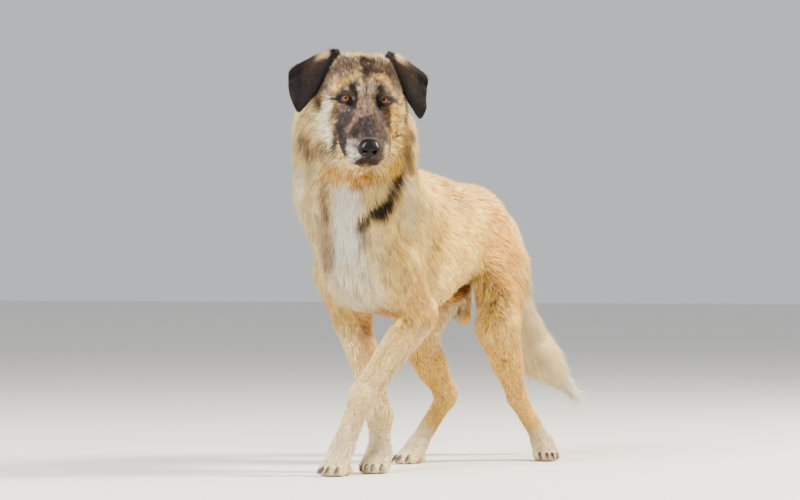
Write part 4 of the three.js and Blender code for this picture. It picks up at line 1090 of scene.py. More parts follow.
@functools.cache
def coat_finish():
    """The material of all the pieces of coat, with painted shade toward the roots of the hair."""
    g = Graph("coat_hair")
    along, chance, tips = g.parts(g.attribute("strand", "Vector"))
    # Toward its roots each tuft is darkened: painted shade between the hairs.
    root = g.mix((1 - along.between(0.0, 0.6)) * 0.72, g.attribute("pelt"), paint(70, 54, 40), "MULTIPLY")
    colour = g.mix(tips * along.between(0.3, 0.9), root, paint(26, 21, 19))
    colour = g.mix(tips * -1.0 * along.between(0.2, 0.8), colour, paint(242, 226, 196))
    colour = g.vary(0.35, colour, g.noise(g.place(), 900.0, 2.0), (0.55, 0.52, 0.5), (1.25, 1.22, 1.2))
    facing = g.node("ShaderNodeNewGeometry", output="Normal")
    normal = g.vector("NORMALIZE", g.vector("ADD", facing, g.attribute("nap", "Vector")))
    return g.finish(colour, 0.5 + 0.18 * chance, Normal=normal, Specular_IOR_Level=0.12)


def skin_material(name):
    g = Graph(name)
    hair = g.noise(g.attribute("combed", "Vector"), 420.0, 3.0, 0.6)
    colour = g.vary(0.75, g.attribute("pelt"), hair, (0.35, 0.33, 0.32), (1.35, 1.32, 1.3))
    colour = g.vary(0.3, colour, g.noise(g.place(), 60.0, 4.0), (0.6, 0.58, 0.56), (1.2, 1.18, 1.15))
    return g.finish(colour, 0.72, Normal=g.bump(hair, 0.0012, 0.7), Specular_IOR_Level=0.1)


# ---- Settings ----
class SheepdogSettings(bpy.types.PropertyGroup):
    hair_count: bpy.props.FloatProperty(
        name="Hair count", description="Number of tufts, as a share of the full coat", default=1.0, min=0.05, max=1.5,
        subtype="FACTOR")
    iris: bpy.props.FloatVectorProperty(
        name="Iris", description="Colour of the iris", default=tuple(ink(122, 66, 9)), size=3, min=0, max=1,
        subtype="COLOR")
    nose: bpy.props.FloatVectorProperty(
        name="Nose", description="Colour of the nose leather", default=tuple(ink(14, 12, 13)), size=3, min=0, max=1,
        subtype="COLOR")
    claw: bpy.props.FloatVectorProperty(
        name="Claws", description="Colour of the claws", default=tuple(ink(58, 50, 44)), size=3, min=0, max=1,
        subtype="COLOR")
    claw_length: bpy.props.FloatProperty(
        name="Claw length", description="Length of each claw past its toe", default=0.012, min=0.005, max=0.03,
        unit="LENGTH")
    floor: bpy.props.FloatVectorProperty(
        name="Floor", description="Colour of the floor", default=tuple(ink(234, 233, 229)), size=3, min=0, max=1,
        subtype="COLOR")
    focal_length: bpy.props.FloatProperty(
        name="Focal length", description="Focal length of the camera in millimetres", default=135.0, min=20, max=300)


def settings():
    return bpy.context.scene.sheepdog


def attach(made, slot=None, *nodes):
    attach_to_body(made, "root")
    if nodes:
        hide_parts(*nodes)


# ---- Skin ----
FLESH = ["chest", "loin", "rump", "neck", "head", "muzzle", "lower_jaw", "tail_root", "tail_brush"] + [
    f"{part}_{side}" for part in ("thigh", "shin", "hind_pastern", "hind_paw", "forearm", "fore_pastern", "fore_paw")
    for side in ("left", "right")]
SHEETS = ("face", "skull", "neck", "chest", "back", "rump", "legs", "tail")  # in the order of COATS
BODY_CELL, HEAD_CELL = 6.8, 2.45


@functools.cache
def shells():
    """The body's and the head's nets, with each face's sheet, whether it is seen, and the unwrapped map."""
    body = net(body_skin, np.array((-210.0, -500.0, -12.0)), np.array((230.0, 640.0, 915.0)), BODY_CELL)
    centre = in_head(0, 14, -36)
    head = net(head_skin, centre - 235, centre + 235, HEAD_CELL)
    points = np.concatenate([body[0], head[0]])
    faces = np.concatenate([body[1], head[1] + len(body[0])])
    centre = points[faces].mean(axis=1)
    zone = coat_at(centre)[4]
    sheet = np.array([SHEETS.index(z.piece) for z in coat_zones()])[zone]
    of_head = np.arange(len(faces)) >= len(body[1])
    skull, neck_sheet = SHEETS.index("skull"), SHEETS.index("neck")
    sheet = np.where(of_head, np.minimum(sheet, skull), np.maximum(sheet, neck_sheet))
    seen = np.where(of_head, over(body_skin, centre), over(head_skin, centre)) > -1.5
    flat = unwrap(points, faces, zone * 2 + of_head, sheet)
    return points, faces, sheet, seen, flat


class SHEEPDOG_OT_skin(bpy.types.Operator):
    """Adds the skin of the trunk, neck, head, legs and tail"""
    bl_idname = "sheepdog.skin"
    bl_label = "Skin"

    def execute(self, context):
        points, faces, sheet, _, flat = shells()
        made = mesh_object("skin", points, faces, skin_material("short_coat_over_skin"))
        tile = np.stack([sheet % 4, sheet // 4], axis=1)
        set_uv(made, ((flat + tile[:, None]) / 4).reshape(-1, 2))
        lie, _, lift, _, _ = coat_at(points)
        set_values(made, "pelt", tinted(pelt(points + outward(points, faces) * SET_BACK * lift[:, None])))
        lie, place = unit(lie), points - HEAD_AT
        set_values(made, "combed", (place - 0.86 * (place * lie).sum(axis=1, keepdims=True) * lie) / 1000)
        attach(made, "coat", *FLESH)
        return {"FINISHED"}


# ---- Coat ----
# Pieces and tufts in each, clumps in mm and how far they gather, how far single tufts stray, how much they differ
# in tone, and the share with pale tips
Growth = collections.namedtuple("Growth", "pieces count clump gather stray speckle pale")
COATS = {
    "face": Growth(1, 43000, 5.0, 0.15, 0.16, 0.46, 0.1),
    "skull": Growth(1, 48000, 7.0, 0.26, 0.19, 0.72, 0.26),
    "neck": Growth(2, 41000, 14.0, 0.5, 0.26, 0.42, 0.36),
    "chest": Growth(1, 41000, 14.0, 0.55, 0.17, 0.27, 0.3),
    "back": Growth(1, 33000, 14.0, 0.5, 0.15, 0.25, 0.32),
    "rump": Growth(1, 34000, 14.0, 0.5, 0.16, 0.25, 0.32),
    "legs": Growth(1, 35000, 8.0, 0.25, 0.14, 0.14, 0.2),
    "tail": Growth(1, 30000, 16.0, 0.35, 0.24, 0.22, 0.35),
}
EAR_COAT = Growth(1, 12000, 6.0, 0.1, 0.14, 0.16, 0.06)


def hair_share():
    """The share of the full coat that grows."""
    return settings().hair_count * 1


class SHEEPDOG_OT_coat(bpy.types.Operator):
    """Grows the coat on the skin, one piece for each stretch of the body"""
    bl_idname = "sheepdog.coat"
    bl_label = "Coat"

    def execute(self, context):
        points, faces, sheet, seen, flat = shells()
        for number, (piece, growth) in enumerate(COATS.items()):
            chosen = (sheet == number) & seen
            centre = points[faces[chosen]].mean(axis=1)
            _, length, _, width, _ = coat_at(centre)
            weight, field = 1 / (length * width), body_form()
            if piece in ("face", "skull"):
                weight, field = weight * hair_room(centre), skull_form()
            for k in range(growth.pieces):
                seed = 100 * k + number
                count = int(growth.count * hair_share())
                grown = roots_on(points, faces[chosen], flat[chosen], count, 1000 + seed, weight)
                name = f"coat_{piece}" + (f"_{k + 1}" if growth.pieces > 1 else "")
                attach(grow(name, *grown, 2000 + seed, growth, field=field), "coat")
        return {"FINISHED"}


def hair_room(p):
    """Where hair may grow on the head: not in the eye sockets, the mouth or under the nose pad."""
    q = to_head(p)
    room = np.ones(len(p))
    for side in SIDES:
        room *= smooth(lid_opening(side)(q), 0.4, 1.6)
    room *= smooth(mouth_gap(q), 2.0, 3.6) + (q[:, 1] > 8)
    room *= smooth(nose_form(q), 0.5, 2.0)
    return np.clip(room, 0, 1)


# ---- Ears ----
EAR_ROWS = np.array([
    [[44, 84, 34], [58, 106, 36], [64, 126, -6]],
    [[49, 96, 51], [82, 115, 33], [106, 128, -12]],
    [[53, 100, 57], [104, 105, 33], [151, 116, -3]],
    [[62, 86, 43], [111, 89, 16], [154, 106, -28]],
    [[80, 67, 14], [119, 65, -10], [152, 84, -44]],
    [[99, 50, -20], [129, 43, -34], [150, 58, -46]],
    [[121, 41, -46], [133, 37, -54], [146, 46, -50]],
], float)
EAR_THICKNESS = (12, 7.5, 6, 5.4, 4.8, 4, 3)
EAR_CELLS = 44, 22  # from root to tip and from edge to edge


def ear_spot(s, t):
    """Middle surface of the left ear in the head's frame: s from root to tip, t from front edge to rear edge."""
    row = np.clip(s, 0, 1) * (len(EAR_ROWS) - 1)
    k = np.minimum(row.astype(int), len(EAR_ROWS) - 2)
    f = (row - k)[:, None, None]
    rows = np.concatenate([2 * EAR_ROWS[:1] - EAR_ROWS[1:2], EAR_ROWS, 2 * EAR_ROWS[-1:] - EAR_ROWS[-2:-1]])
    a, b, c, d = rows[k], rows[k + 1], rows[k + 2], rows[k + 3]
    line = 0.5 * (2 * b + (c - a) * f + (2 * a - 5 * b + 4 * c - d) * f**2 + (3 * b - a - 3 * c + d) * f**3)
    t = t[:, None]
    return line[:, 0] * (1 - t) * (1 - 2 * t) + line[:, 1] * 4 * t * (1 - t) + line[:, 2] * t * (2 * t - 1)


def ear_frame(s, t, side):
    """Spot, outward direction and direction toward the tip, in the dog's frame."""
    e = 0.01
    mirror = np.array((side, 1, 1))
    down = ear_spot(np.minimum(s + e, 1), t) - ear_spot(np.maximum(s - e, 0), t)
    over = ear_spot(s, np.minimum(t + e, 1)) - ear_spot(s, np.maximum(t - e, 0))
    out = unit(np.cross(down, over)) * mirror
    spot = ear_spot(s, t) * mirror
    return from_head(spot), out @ HEAD_TURN.T, unit(down * mirror) @ HEAD_TURN.T


def ear_half(s, t):
    """Half of the ear's thickness, less toward its edges and its tip."""
    rim = 0.3 + 0.7 * np.sqrt(np.sin(np.pi * np.clip(t, 0.04, 0.96)))
    tip = np.sqrt(np.clip((1 - s) * 12, 0.05, 1))
    return np.interp(s * 6, range(7), EAR_THICKNESS) * rim * tip / 2


def ear_pelt(s, t, outer, p):
    """Dark velvet with a lighter, warmer band toward the fold that is painted highlight and a darker band beside it
    that is painted shade, tan along the fold, and a black line down the front edge that is partly black fur and partly
    painted shade.
    """
    def lay(tone, share):
        return colour + (ink(*tone) - colour) * share[:, None]

    colour = np.tile(ink(27, 22, 21), (len(s), 1))
    # A lighter warm band toward the fold: painted highlight.
    colour = lay((72, 54, 44), 0.8 * (1 - smooth(s, 0.3, 0.72)) * np.exp(-((t - 0.42) / 0.26) ** 2))
    colour = lay((52, 45, 46), smooth(s, 0.45, 0.95) * 0.5)
    # A darker band beside the fold: painted shade.
    colour = lay((15, 12, 12), 0.75 * np.exp(-((t - 0.8 + 0.12 * s) / 0.08) ** 2) * (1 - smooth(s, 0.6, 0.9)))
    colour = lay((214, 180, 138), 0.9 * (1 - smooth(s, 0.3, 0.43)) * smooth(t, 0.1, 0.2) * (1 - smooth(t, 0.28, 0.5)))
    colour = lay((92, 74, 60), 0.7 * (1 - smooth(s, 0.05, 0.3)) * smooth(t, 0.3, 0.6))
    # The black line down the front edge: partly black fur and partly painted shade of the turned edge.
    colour = lay((10, 8, 8), 0.92 * (1 - smooth(t, 0.08, 0.18)))
    inside = ink(150, 116, 96)
    colour = np.where(outer[:, None], colour, colour * 0.75 + inside * 0.25)
    return np.clip(colour * (1 + 0.15 * ragged(p, 10.0))[:, None], 0, 1)


class SHEEPDOG_OT_ears(bpy.types.Operator):
    """Adds the ears and their short hair"""
    bl_idname = "sheepdog.ears"
    bl_label = "Ears"

    def execute(self, context):
        for side, name in SIDE_NAMES.items():
            self.skin(name, side)
            self.hair(name, side)
        return {"FINISHED"}

    def skin(self, name, side):
        along, across = EAR_CELLS
        s, t = (a.ravel() for a in np.meshgrid(np.linspace(0, 1, along + 1), np.linspace(0, 1, across + 1),
                                               indexing="ij"))
        spot, out, _ = ear_frame(s, t, side)
        half = ear_half(s, t)[:, None]
        points = np.concatenate([spot + out * half, spot - out * half])
        shift = len(s)
        index = np.arange(shift).reshape(along + 1, across + 1)

        def strip(a, b):
            """Quads that join a line of the outside to the same line of the inside."""
            return np.stack([a, b, b + shift, a + shift], axis=-1)

        outside = np.stack([index[:-1, :-1], index[:-1, 1:], index[1:, 1:], index[1:, :-1]], axis=-1).reshape(-1, 4)
        front, tip = strip(index[:-1, 0], index[1:, 0]), strip(index[-1, :-1], index[-1, 1:])
        rear, root = strip(index[1:, -1], index[:-1, -1]), strip(index[0, 1:], index[0, :-1])
        faces = np.concatenate([outside, outside[:, ::-1] + shift, front, rear, root, tip])
        if side == LEFT:
            faces = faces[:, ::-1]
        made = mesh_object(f"ear_skin_{name}", points, faces, skin_material(f"ear_skin_{name}"))
        u = np.concatenate([s * 0.46 + 0.02, s * 0.46 + 0.52])
        flat = np.stack([u, np.tile(t, 2) * 0.96 + 0.02], axis=1)
        set_uv(made, flat[faces].reshape(-1, 2))
        outer = np.repeat((True, False), len(s))
        ss, tt = np.tile(s, 2), np.tile(t, 2)
        set_values(made, "pelt", tinted(ear_pelt(ss, tt, outer, points)))
        set_values(made, "combed", np.stack([tt * 90, ss * 16, outer * 30.0], axis=1) / 1000)
        attach(made, "dark_coat", f"ear_{name}")

    def hair(self, name, side):
        random = np.random.default_rng(60 + side)
        count = int(EAR_COAT.count * hair_share())
        s, t = random.uniform(0.0, 1.0, count) ** 0.9, random.uniform(0, 1, count)
        outer = random.random(count) < 0.66
        spot, out, down = ear_frame(s, t, side)
        face_out = np.where(outer[:, None], out, -out)
        roots = spot + face_out * (ear_half(s, t) - 0.4)[:, None]
        edge = np.abs(t - 0.5) * 2
        over = np.cross(down, out) * np.sign(t - 0.5)[:, None] * side
        lie = unit(down + over * (0.5 * edge**3)[:, None])
        fold = 1 - smooth(s, 0.1, 0.35)
        length = np.where(outer, 10 + 12 * fold, 8)
        coat = (lie, length, np.where(outer, 2.2 + 2.5 * fold, 1.4), np.where(outer, 1.9, 1.5))
        spots = np.stack([s * 0.46 + 0.02 + 0.5 * ~outer, t * 0.96 + 0.02], axis=1)
        attach(grow(f"coat_ear_{name}", roots, face_out, spots, 70 + side, EAR_COAT, coat=coat,
                    colour=ear_pelt(s, t, outer, roots), tips=np.full(count, 0.12)), "dark_coat")


# ---- Nose ----
def nose_form(q):
    """The nose pad in the head's own frame, before the nostrils are cut."""
    front = -MUZZLE_LENGTH
    return flow(
        9,
        ball((0, front + 1, -45), (20, 17, 16)),
        ball((0, front + 8, -34), (17, 14, 8)),
        ball((-13, front - 1, -49), (11, 14, 12)),
        ball((13, front - 1, -49), (11, 14, 12)),
        limb((0, front - 8, -58), (0, front - 2, -70), 6, 4),
    )(q)


def nose_field(q):
    """The nose pad with its nostrils and its groove, each with a soft edge."""
    d = nose_form(q)
    front = -MUZZLE_LENGTH
    for side in SIDES:
        hole = flow(
            3,
            limb((side * 10, front - 22, -47), (side * 11, front - 6, -46), 5.3, 4.6),
            limb((side * 11, front - 17, -50), (side * 20, front - 9, -54), 3.2, 1.9),
            limb((side * 20, front - 9, -54), (side * 25, front + 3, -52), 1.9, 1.4),
        )(q)
        h = np.clip(2.4 - np.abs(d + hole), 0, None) / 2.4
        d = np.maximum(d, -hole) + h * h * 0.6
    groove = limb((0, front - 20, -50), (0, front - 6, -74), 1.5, 1.2)(q)
    h = np.clip(3 - np.abs(d + groove), 0, None) / 3
    return np.maximum(d, -groove) + h * h * 0.75


class SHEEPDOG_OT_nose(bpy.types.Operator):
    """Adds the nose pad with its nostrils"""
    bl_idname = "sheepdog.nose"
    bl_label = "Nose"

    def execute(self, context):
        centre = np.array((0, -MUZZLE_LENGTH, -50.0))
        points, faces = net(nose_field, centre - 34, centre + 34, 1.15)
        made = mesh_object("nose_pad", from_head(points), faces, self.material())
        set_uv(made, unwrap(points, faces).reshape(-1, 2))
        # How deep each point lies inside the nose pad's form, for the painted shade in the nostrils.
        set_values(made, "depth", -nose_form(points)[:, None].repeat(3, axis=1))
        attach(made, "nose", "nose")
        return {"FINISHED"}

    def material(self):
        g = Graph("nose_leather")
        place = g.place()
        pebbles = g.node("ShaderNodeTexVoronoi", {"feature": "F1"}, {"Vector": place, "Scale": 620.0})
        grain = g.noise(place, 1500.0, 2.0)
        hollow = g.parts(g.attribute("depth", "Vector"))[0]
        base = g.mix(g.noise(place, 90.0), linear(settings().nose), linear(settings().nose, 1.9))
        # Deeper in the nostrils the leather is darkened: painted shade in the holes.
        colour = g.mix(hollow.between(1.0, 5.0), base, paint(6, 5, 5))
        height = pebbles.between(0.0, 0.9) * -1.0 + grain * 0.25
        return g.finish(colour, 0.32 + 0.2 * pebbles, Normal=g.bump(height, 0.0005, 0.7), Coat_Weight=0.14,
                        Coat_Roughness=0.12, Specular_IOR_Level=0.05)


# ---- Eyes ----
GAZE = unit((0.50, -0.865, -0.05))
IRIS_ANGLE, PUPIL_ANGLE = 40.0, 16.5
EYE_RINGS, EYE_TURNS = 48, 64


class SHEEPDOG_OT_eyes(bpy.types.Operator):
    """Adds the eyeballs, each with a clear front over a fibrous iris"""
    bl_idname = "sheepdog.eyes"
    bl_label = "Eyes"

    def execute(self, context):
        rings, turns = EYE_RINGS, EYE_TURNS
        angle = np.linspace(0, np.pi, rings + 1)[1:-1]
        around = np.arange(turns) * 2 * np.pi / turns
        a, b = (v.ravel() for v in np.meshgrid(angle, around, indexing="ij"))
        a, b = np.concatenate([[0], a, [np.pi]]), np.concatenate([[0], b, [0]])
        index = 1 + np.arange((rings - 1) * turns).reshape(rings - 1, turns)
        after = np.roll(index, -1, axis=1)
        front = np.stack([np.zeros(turns, int), index[0], after[0]], axis=-1)
        back = np.stack([index[-1], np.full(turns, len(a) - 1), after[-1]], axis=-1)
        faces = bands(index).tolist() + front.tolist() + back.tolist()
        glass = self.material()
        for side, name in SIDE_NAMES.items():
            axis = unit(GAZE + HEAD_TURN @ np.array((side * 0.10, 0, 0)))
            over = unit(np.cross((0, 0, 1), axis))
            rise = np.cross(axis, over)
            direction = (np.cos(a)[:, None] * axis + np.sin(a)[:, None]
                         * (np.cos(b)[:, None] * over + np.sin(b)[:, None] * rise))
            bulge = 0.7 * (1 - smooth(np.degrees(a), 18, 46))
            points = eye_at(side) + direction * (EYE_RADIUS - EYE_GAP + bulge)[:, None]
            made = self.ball(f"eyeball_{name}", points, faces, glass)
            ring = np.stack([np.degrees(a) / IRIS_ANGLE, np.cos(b) * np.sin(a), np.sin(b) * np.sin(a)], axis=1)
            set_values(made, "ring", ring)
            attach(made, "eye", f"eye_{name}")
        return {"FINISHED"}

    def ball(self, name, points, faces, glass):
        mesh = bpy.data.meshes.new(name)
        mesh.from_pydata(metres(points).tolist(), [], faces)
        mesh.polygons.foreach_set("use_smooth", [True] * len(faces))
        made = placed(name, mesh, glass)
        directions = unit(points - points.mean(axis=0))
        flat = directions[:, (0, 2)] * 0.24 + 0.25
        flat[:, 0] += 0.5 * (directions[:, 1] > 0)
        set_uv(made, flat[corner_points(mesh)])
        return made

    def material(self):
        g = Graph("eye_glass")
        radius, x, z = g.parts(g.attribute("ring", "Vector"))
        spokes = g.node("ShaderNodeCombineXYZ", None,
                        {0: x / (radius + 0.05), 1: z / (radius + 0.05), 2: radius * 0.25})
        spokes = g.noise(spokes, 14.0, 4.0, 0.7).between(0.3, 0.7)
        iris = settings().iris
        tone = g.mix(radius.between(0.42, 0.95), linear(iris, 1.15), linear(iris, 0.4))
        tone = g.vary(0.7, tone, spokes, (0.35, 0.3, 0.28), (1.5, 1.4, 1.3))
        # The top of the iris is darkened: painted shade from the upper lid.
        tone = g.mix(z.between(0.05, 0.5) * 0.75, tone, paint(52, 40, 16))
        tone = g.mix(radius.between(0.84, 0.98), tone, paint(12, 8, 7))
        pupil = PUPIL_ANGLE / IRIS_ANGLE
        tone = g.mix(1 - radius.between(pupil - 0.03, pupil + 0.03), tone, linear((0.002, 0.002, 0.002)))
        white = g.mix(g.noise(g.place(), 260.0, 3.0), paint(40, 22, 15), paint(84, 48, 30))
        tone = g.mix(radius.between(1.02, 1.12), tone, white)
        return g.finish(tone, 0.3, Coat_Weight=0.4, Coat_Roughness=0.03, Specular_IOR_Level=0.1)


def lid_edge(side, count=28):
    """Points round the opening between the lids, on the eyeball, in the dog's frame."""
    (above, drop), (below, lift) = lid_circle(LID_ABOVE), lid_circle(LID_BELOW)
    u = np.cos(np.linspace(0, np.pi, count)) * LID_WIDTH
    top = np.sqrt(np.maximum(above**2 - u**2, 0)) - drop
    bottom = lift - np.sqrt(np.maximum(below**2 - u**2, 0))
    u = np.concatenate([u, u[::-1][1:-1]])
    w = np.concatenate([top, bottom[::-1][1:-1]])
    out = np.sqrt(np.maximum((EYE_RADIUS + 0.9) ** 2 - u**2 - w**2, 1))
    return eye_at(side) + np.stack([u, out, w], axis=1) @ (HEAD_TURN @ lid_frame(side)).T


def tube(points, radii, turns=8, closed=False):
    """Points and quads round a path. A path that isn't closed has both of its ends capped."""
    if closed:
        ahead = np.roll(points, -1, axis=0) - np.roll(points, 1, axis=0)
    else:
        ahead = np.gradient(points, axis=0)
    ahead = unit(ahead)
    side = unit(np.cross(ahead, (0.13, 0.21, 0.97)))
    rise = np.cross(side, ahead)
    around = np.arange(turns) * 2 * np.pi / turns
    ring = side[:, None] * np.cos(around)[None, :, None] + rise[:, None] * np.sin(around)[None, :, None]
    made = (points[:, None] + ring * np.asarray(radii)[:, None, None]).reshape(-1, 3)
    index = np.arange(len(made)).reshape(-1, turns)
    if closed:
        index = np.concatenate([index, index[:1]])
    faces = [bands(index)]
    if not closed:
        for ring in (index[0, ::-1], index[-1]):
            faces += [[ring[[k - 1, k, turns - 1 - k, turns - k]]] for k in range(1, turns // 2)]
    return made, np.concatenate(faces)


def joined(name, parts, material):
    """One unwrapped object from parts, each given as its points and quads."""
    points, quads = zip(*parts)
    starts = np.cumsum([0] + [len(p) for p in points])
    points, faces = np.concatenate(points), np.concatenate([q + start for q, start in zip(quads, starts)])
    made = mesh_object(name, points, faces, material)
    set_uv(made, unwrap(points, faces).reshape(-1, 2))
    return made


LIP_EDGE = [(17, -125, -87), (28, -114, -92.5), (36, -86, -92), (40, -52, -88), (43, -24, -79), (44, -14, -72)]


def lip_edge(side):
    """The wet edge of the upper lip, from beside the nose's groove to the corner of the mouth."""
    knots = np.array(LIP_EDGE) * (side, 1, 1)
    at = np.linspace(0, len(knots) - 1, 26)
    line = np.stack([np.interp(at, range(len(knots)), knots[:, k]) for k in range(3)], axis=1)
    line[1:-1] = (line[:-2] + line[1:-1] * 2 + line[2:]) / 4
    return from_head(line), 0.5 + 2.3 * np.sin(np.pi * np.linspace(0.04, 0.96, 26)) ** 0.7


class SHEEPDOG_OT_lids(bpy.types.Operator):
    """Adds the dark, moist rims of the lids and the edges of the lips"""
    bl_idname = "sheepdog.lids"
    bl_label = "Lids and lips"

    def execute(self, context):
        rims = [tube(edge, np.full(len(edge), 1.5), closed=True) for edge in (lid_edge(LEFT), lid_edge(RIGHT))]
        lips = [tube(*lip_edge(side)) for side in SIDES]
        parts = [rims[0], lips[0], rims[1], lips[1]]
        attach(joined("lids_and_lips", parts, self.material()), "nose")
        return {"FINISHED"}

    def material(self):
        g = Graph("lid_rim")
        colour = g.mix(g.noise(g.place(), 300.0), paint(16, 12, 11), paint(38, 28, 25))
        return g.finish(colour, 0.28, Normal=g.bump(g.noise(g.place(), 1400.0), 0.0003, 0.6))


# ---- Whiskers ----
# Hairs a side, the line they stand along in the head's frame, their lean, their lengths and how far they stray
WHISKER_BEDS = (
    (13, (35, -120, -60), (39, -80, -58), (0.9, 0.55, -0.2), (22, 40), 4),
    (11, (33, -122, -74), (38, -86, -72), (0.8, 0.5, -0.55), (20, 36), 4),
    (5, (10, -118, -104), (24, -96, -110), (0.4, -0.3, -1), (12, 22), 4),
    (5, (32, -8, 28), (52, 0, 24), (0.2, -0.9, 0.8), (14, 26), 3),
    (3, (70, 4, -70), (72, 8, -62), (0.9, -0.2, -0.4), (22, 32), 3),
)


def hair_tree():
    """A tapered hair on each point of a mesh, turned and scaled by the point's attributes and bent downward."""
    tree = bpy.data.node_groups.new("single_hairs", "GeometryNodeTree")
    for name, kind in (("Roots", "Geometry"), ("Thickness", "Float"), ("Droop", "Float"), ("Finish", "Material")):
        tree.interface.new_socket(name, in_out="INPUT", socket_type="NodeSocket" + kind)
    tree.interface.new_socket("Hairs", in_out="OUTPUT", socket_type="NodeSocketGeometry")
    g = Graph("single_hairs", tree)
    given = tree.nodes.new("NodeGroupInput")
    roots, thickness, droop, finish = (Wire(g, socket) for socket in list(given.outputs)[:4])
    hair = g.node("GeometryNodeMeshCone", {"fill_type": "NGON"}, {
        "Vertices": 5, "Side Segments": 5, "Radius Top": 0.0, "Radius Bottom": thickness, "Depth": 1.0})
    height = g.parts(g.node("GeometryNodeInputPosition"))[2]
    bend = g.node("ShaderNodeCombineXYZ", None, {0: height * height * droop})
    hair = g.node("GeometryNodeSetPosition", None, {"Geometry": hair, "Offset": bend})
    lean = g.node("GeometryNodeInputNamedAttribute", {"data_type": "FLOAT_VECTOR"}, {"Name": "lean"})
    reach = g.node("GeometryNodeInputNamedAttribute", {"data_type": "FLOAT"}, {"Name": "reach"})
    turned = g.node("FunctionNodeAlignRotationToVector", {"axis": "Z"}, {"Vector": lean})
    turned = g.node("FunctionNodeAlignRotationToVector", {"axis": "X", "pivot_axis": "Z"},
                    {"Rotation": turned, "Vector": (0, 0, -1)})
    hairs = g.node("GeometryNodeInstanceOnPoints", None, {"Points": roots, "Instance": hair, "Rotation": turned,
                                                          "Scale": reach})
    hairs = g.node("GeometryNodeRealizeInstances", None, {"Geometry": hairs})
    hairs = g.node("GeometryNodeSetMaterial", None, {"Geometry": hairs, "Material": finish})
    tree.links.new(hairs.socket, tree.nodes.new("NodeGroupOutput").inputs[0])
    return tree


class SHEEPDOG_OT_whiskers(bpy.types.Operator):
    """Adds the whiskers, the long hairs of the brows, cheeks and chin, and the lashes"""
    bl_idname = "sheepdog.whiskers"
    bl_label = "Whiskers and lashes"

    def execute(self, context):
        random = np.random.default_rng(11)
        roots, leans, lengths = [], [], []
        for side in SIDES:
            mirror = np.array((side, 1, 1))
            for count, first, last, lean, (short, long), stray in WHISKER_BEDS:
                t = np.linspace(0, 1, count)[:, None]
                bed = np.array(first) * (1 - t) + np.array(last) * t + random.normal(0, stray, (count, 3))
                roots.append(from_head(bed * mirror))
                leans.append((np.array(lean) + random.normal(0, 0.16, (count, 3))) * mirror @ HEAD_TURN.T)
                lengths.append(random.uniform(short, long, count))
        roots = np.concatenate(roots)
        for _ in range(8):
            depth, slope = probe(head_skin, roots, 0.8)
            roots = roots - unit(slope) * (np.clip(depth, -8, 8) + 0.3)[:, None]
        tree, finish = hair_tree(), self.material()
        self.add(tree, "whiskers", roots, np.concatenate(leans), np.concatenate(lengths), finish,
                 thickness=0.007, droop=0.16)
        roots, leans = [], []
        for side in SIDES:
            axes = HEAD_TURN @ lid_frame(side)
            edge = lid_edge(side)[2:26]
            t = np.linspace(-1, 1, len(edge))[:, None]
            roots.append(edge)
            lean = axes[:, 1] - axes[:, 0] * t * 0.5 + axes[:, 2] * 0.1
            leans.append(lean + random.normal(0, 0.1, edge.shape))
        roots = np.concatenate(roots)
        self.add(tree, "lashes", roots, np.concatenate(leans), random.uniform(5, 8, len(roots)), finish,
                 thickness=0.03, droop=0.35)
        return {"FINISHED"}

    def add(self, tree, name, roots, leans, lengths, finish, thickness, droop):
        """A plain mesh with a hair on each root. Thickness and droop are shares of a hair's length."""
        mesh = bpy.data.meshes.new(name + "_roots")
        mesh.from_pydata(metres(roots).tolist(), [], [])
        mesh.attributes.new("lean", "FLOAT_VECTOR", "POINT").data.foreach_set("vector", unit(leans).ravel())
        mesh.attributes.new("reach", "FLOAT", "POINT").data.foreach_set("value", lengths / 1000)
        holder = placed(name + "_roots", mesh)
        modifier = holder.modifiers.new("hairs", "NODES")
        modifier.node_group = tree
        given = {"Thickness": thickness, "Droop": droop, "Finish": finish}
        for item in tree.interface.items_tree:
            if item.name in given:
                modifier[item.identifier] = given[item.name]
        evaluated = holder.evaluated_get(bpy.context.evaluated_depsgraph_get())
        made = placed(name, bpy.data.meshes.new_from_object(evaluated))
        bpy.data.objects.remove(holder)
        per = len(made.data.vertices) // len(roots)
        if per * len(roots) != len(made.data.vertices) or per < 20:
            raise RuntimeError(f"{name}: the hairs are not whole")
        corners = corner_points(made.data)
        own, hair = corners % per, corners // per
        flat = np.stack([hair % 16 + 0.1 + 0.8 * (own % 5) / 5, hair // 16 + 0.1 + 0.8 * own / per], axis=1) / 16
        for layer in list(made.data.uv_layers):
            made.data.uv_layers.remove(layer)
        set_uv(made, flat)
        attach(made, "dark_coat")

    def material(self):
        g = Graph("whisker_hair")
        colour = g.mix(g.noise(g.place(), 90.0), paint(28, 22, 20), paint(112, 92, 76))
        return g.finish(colour, 0.42, Specular_IOR_Level=0.3)


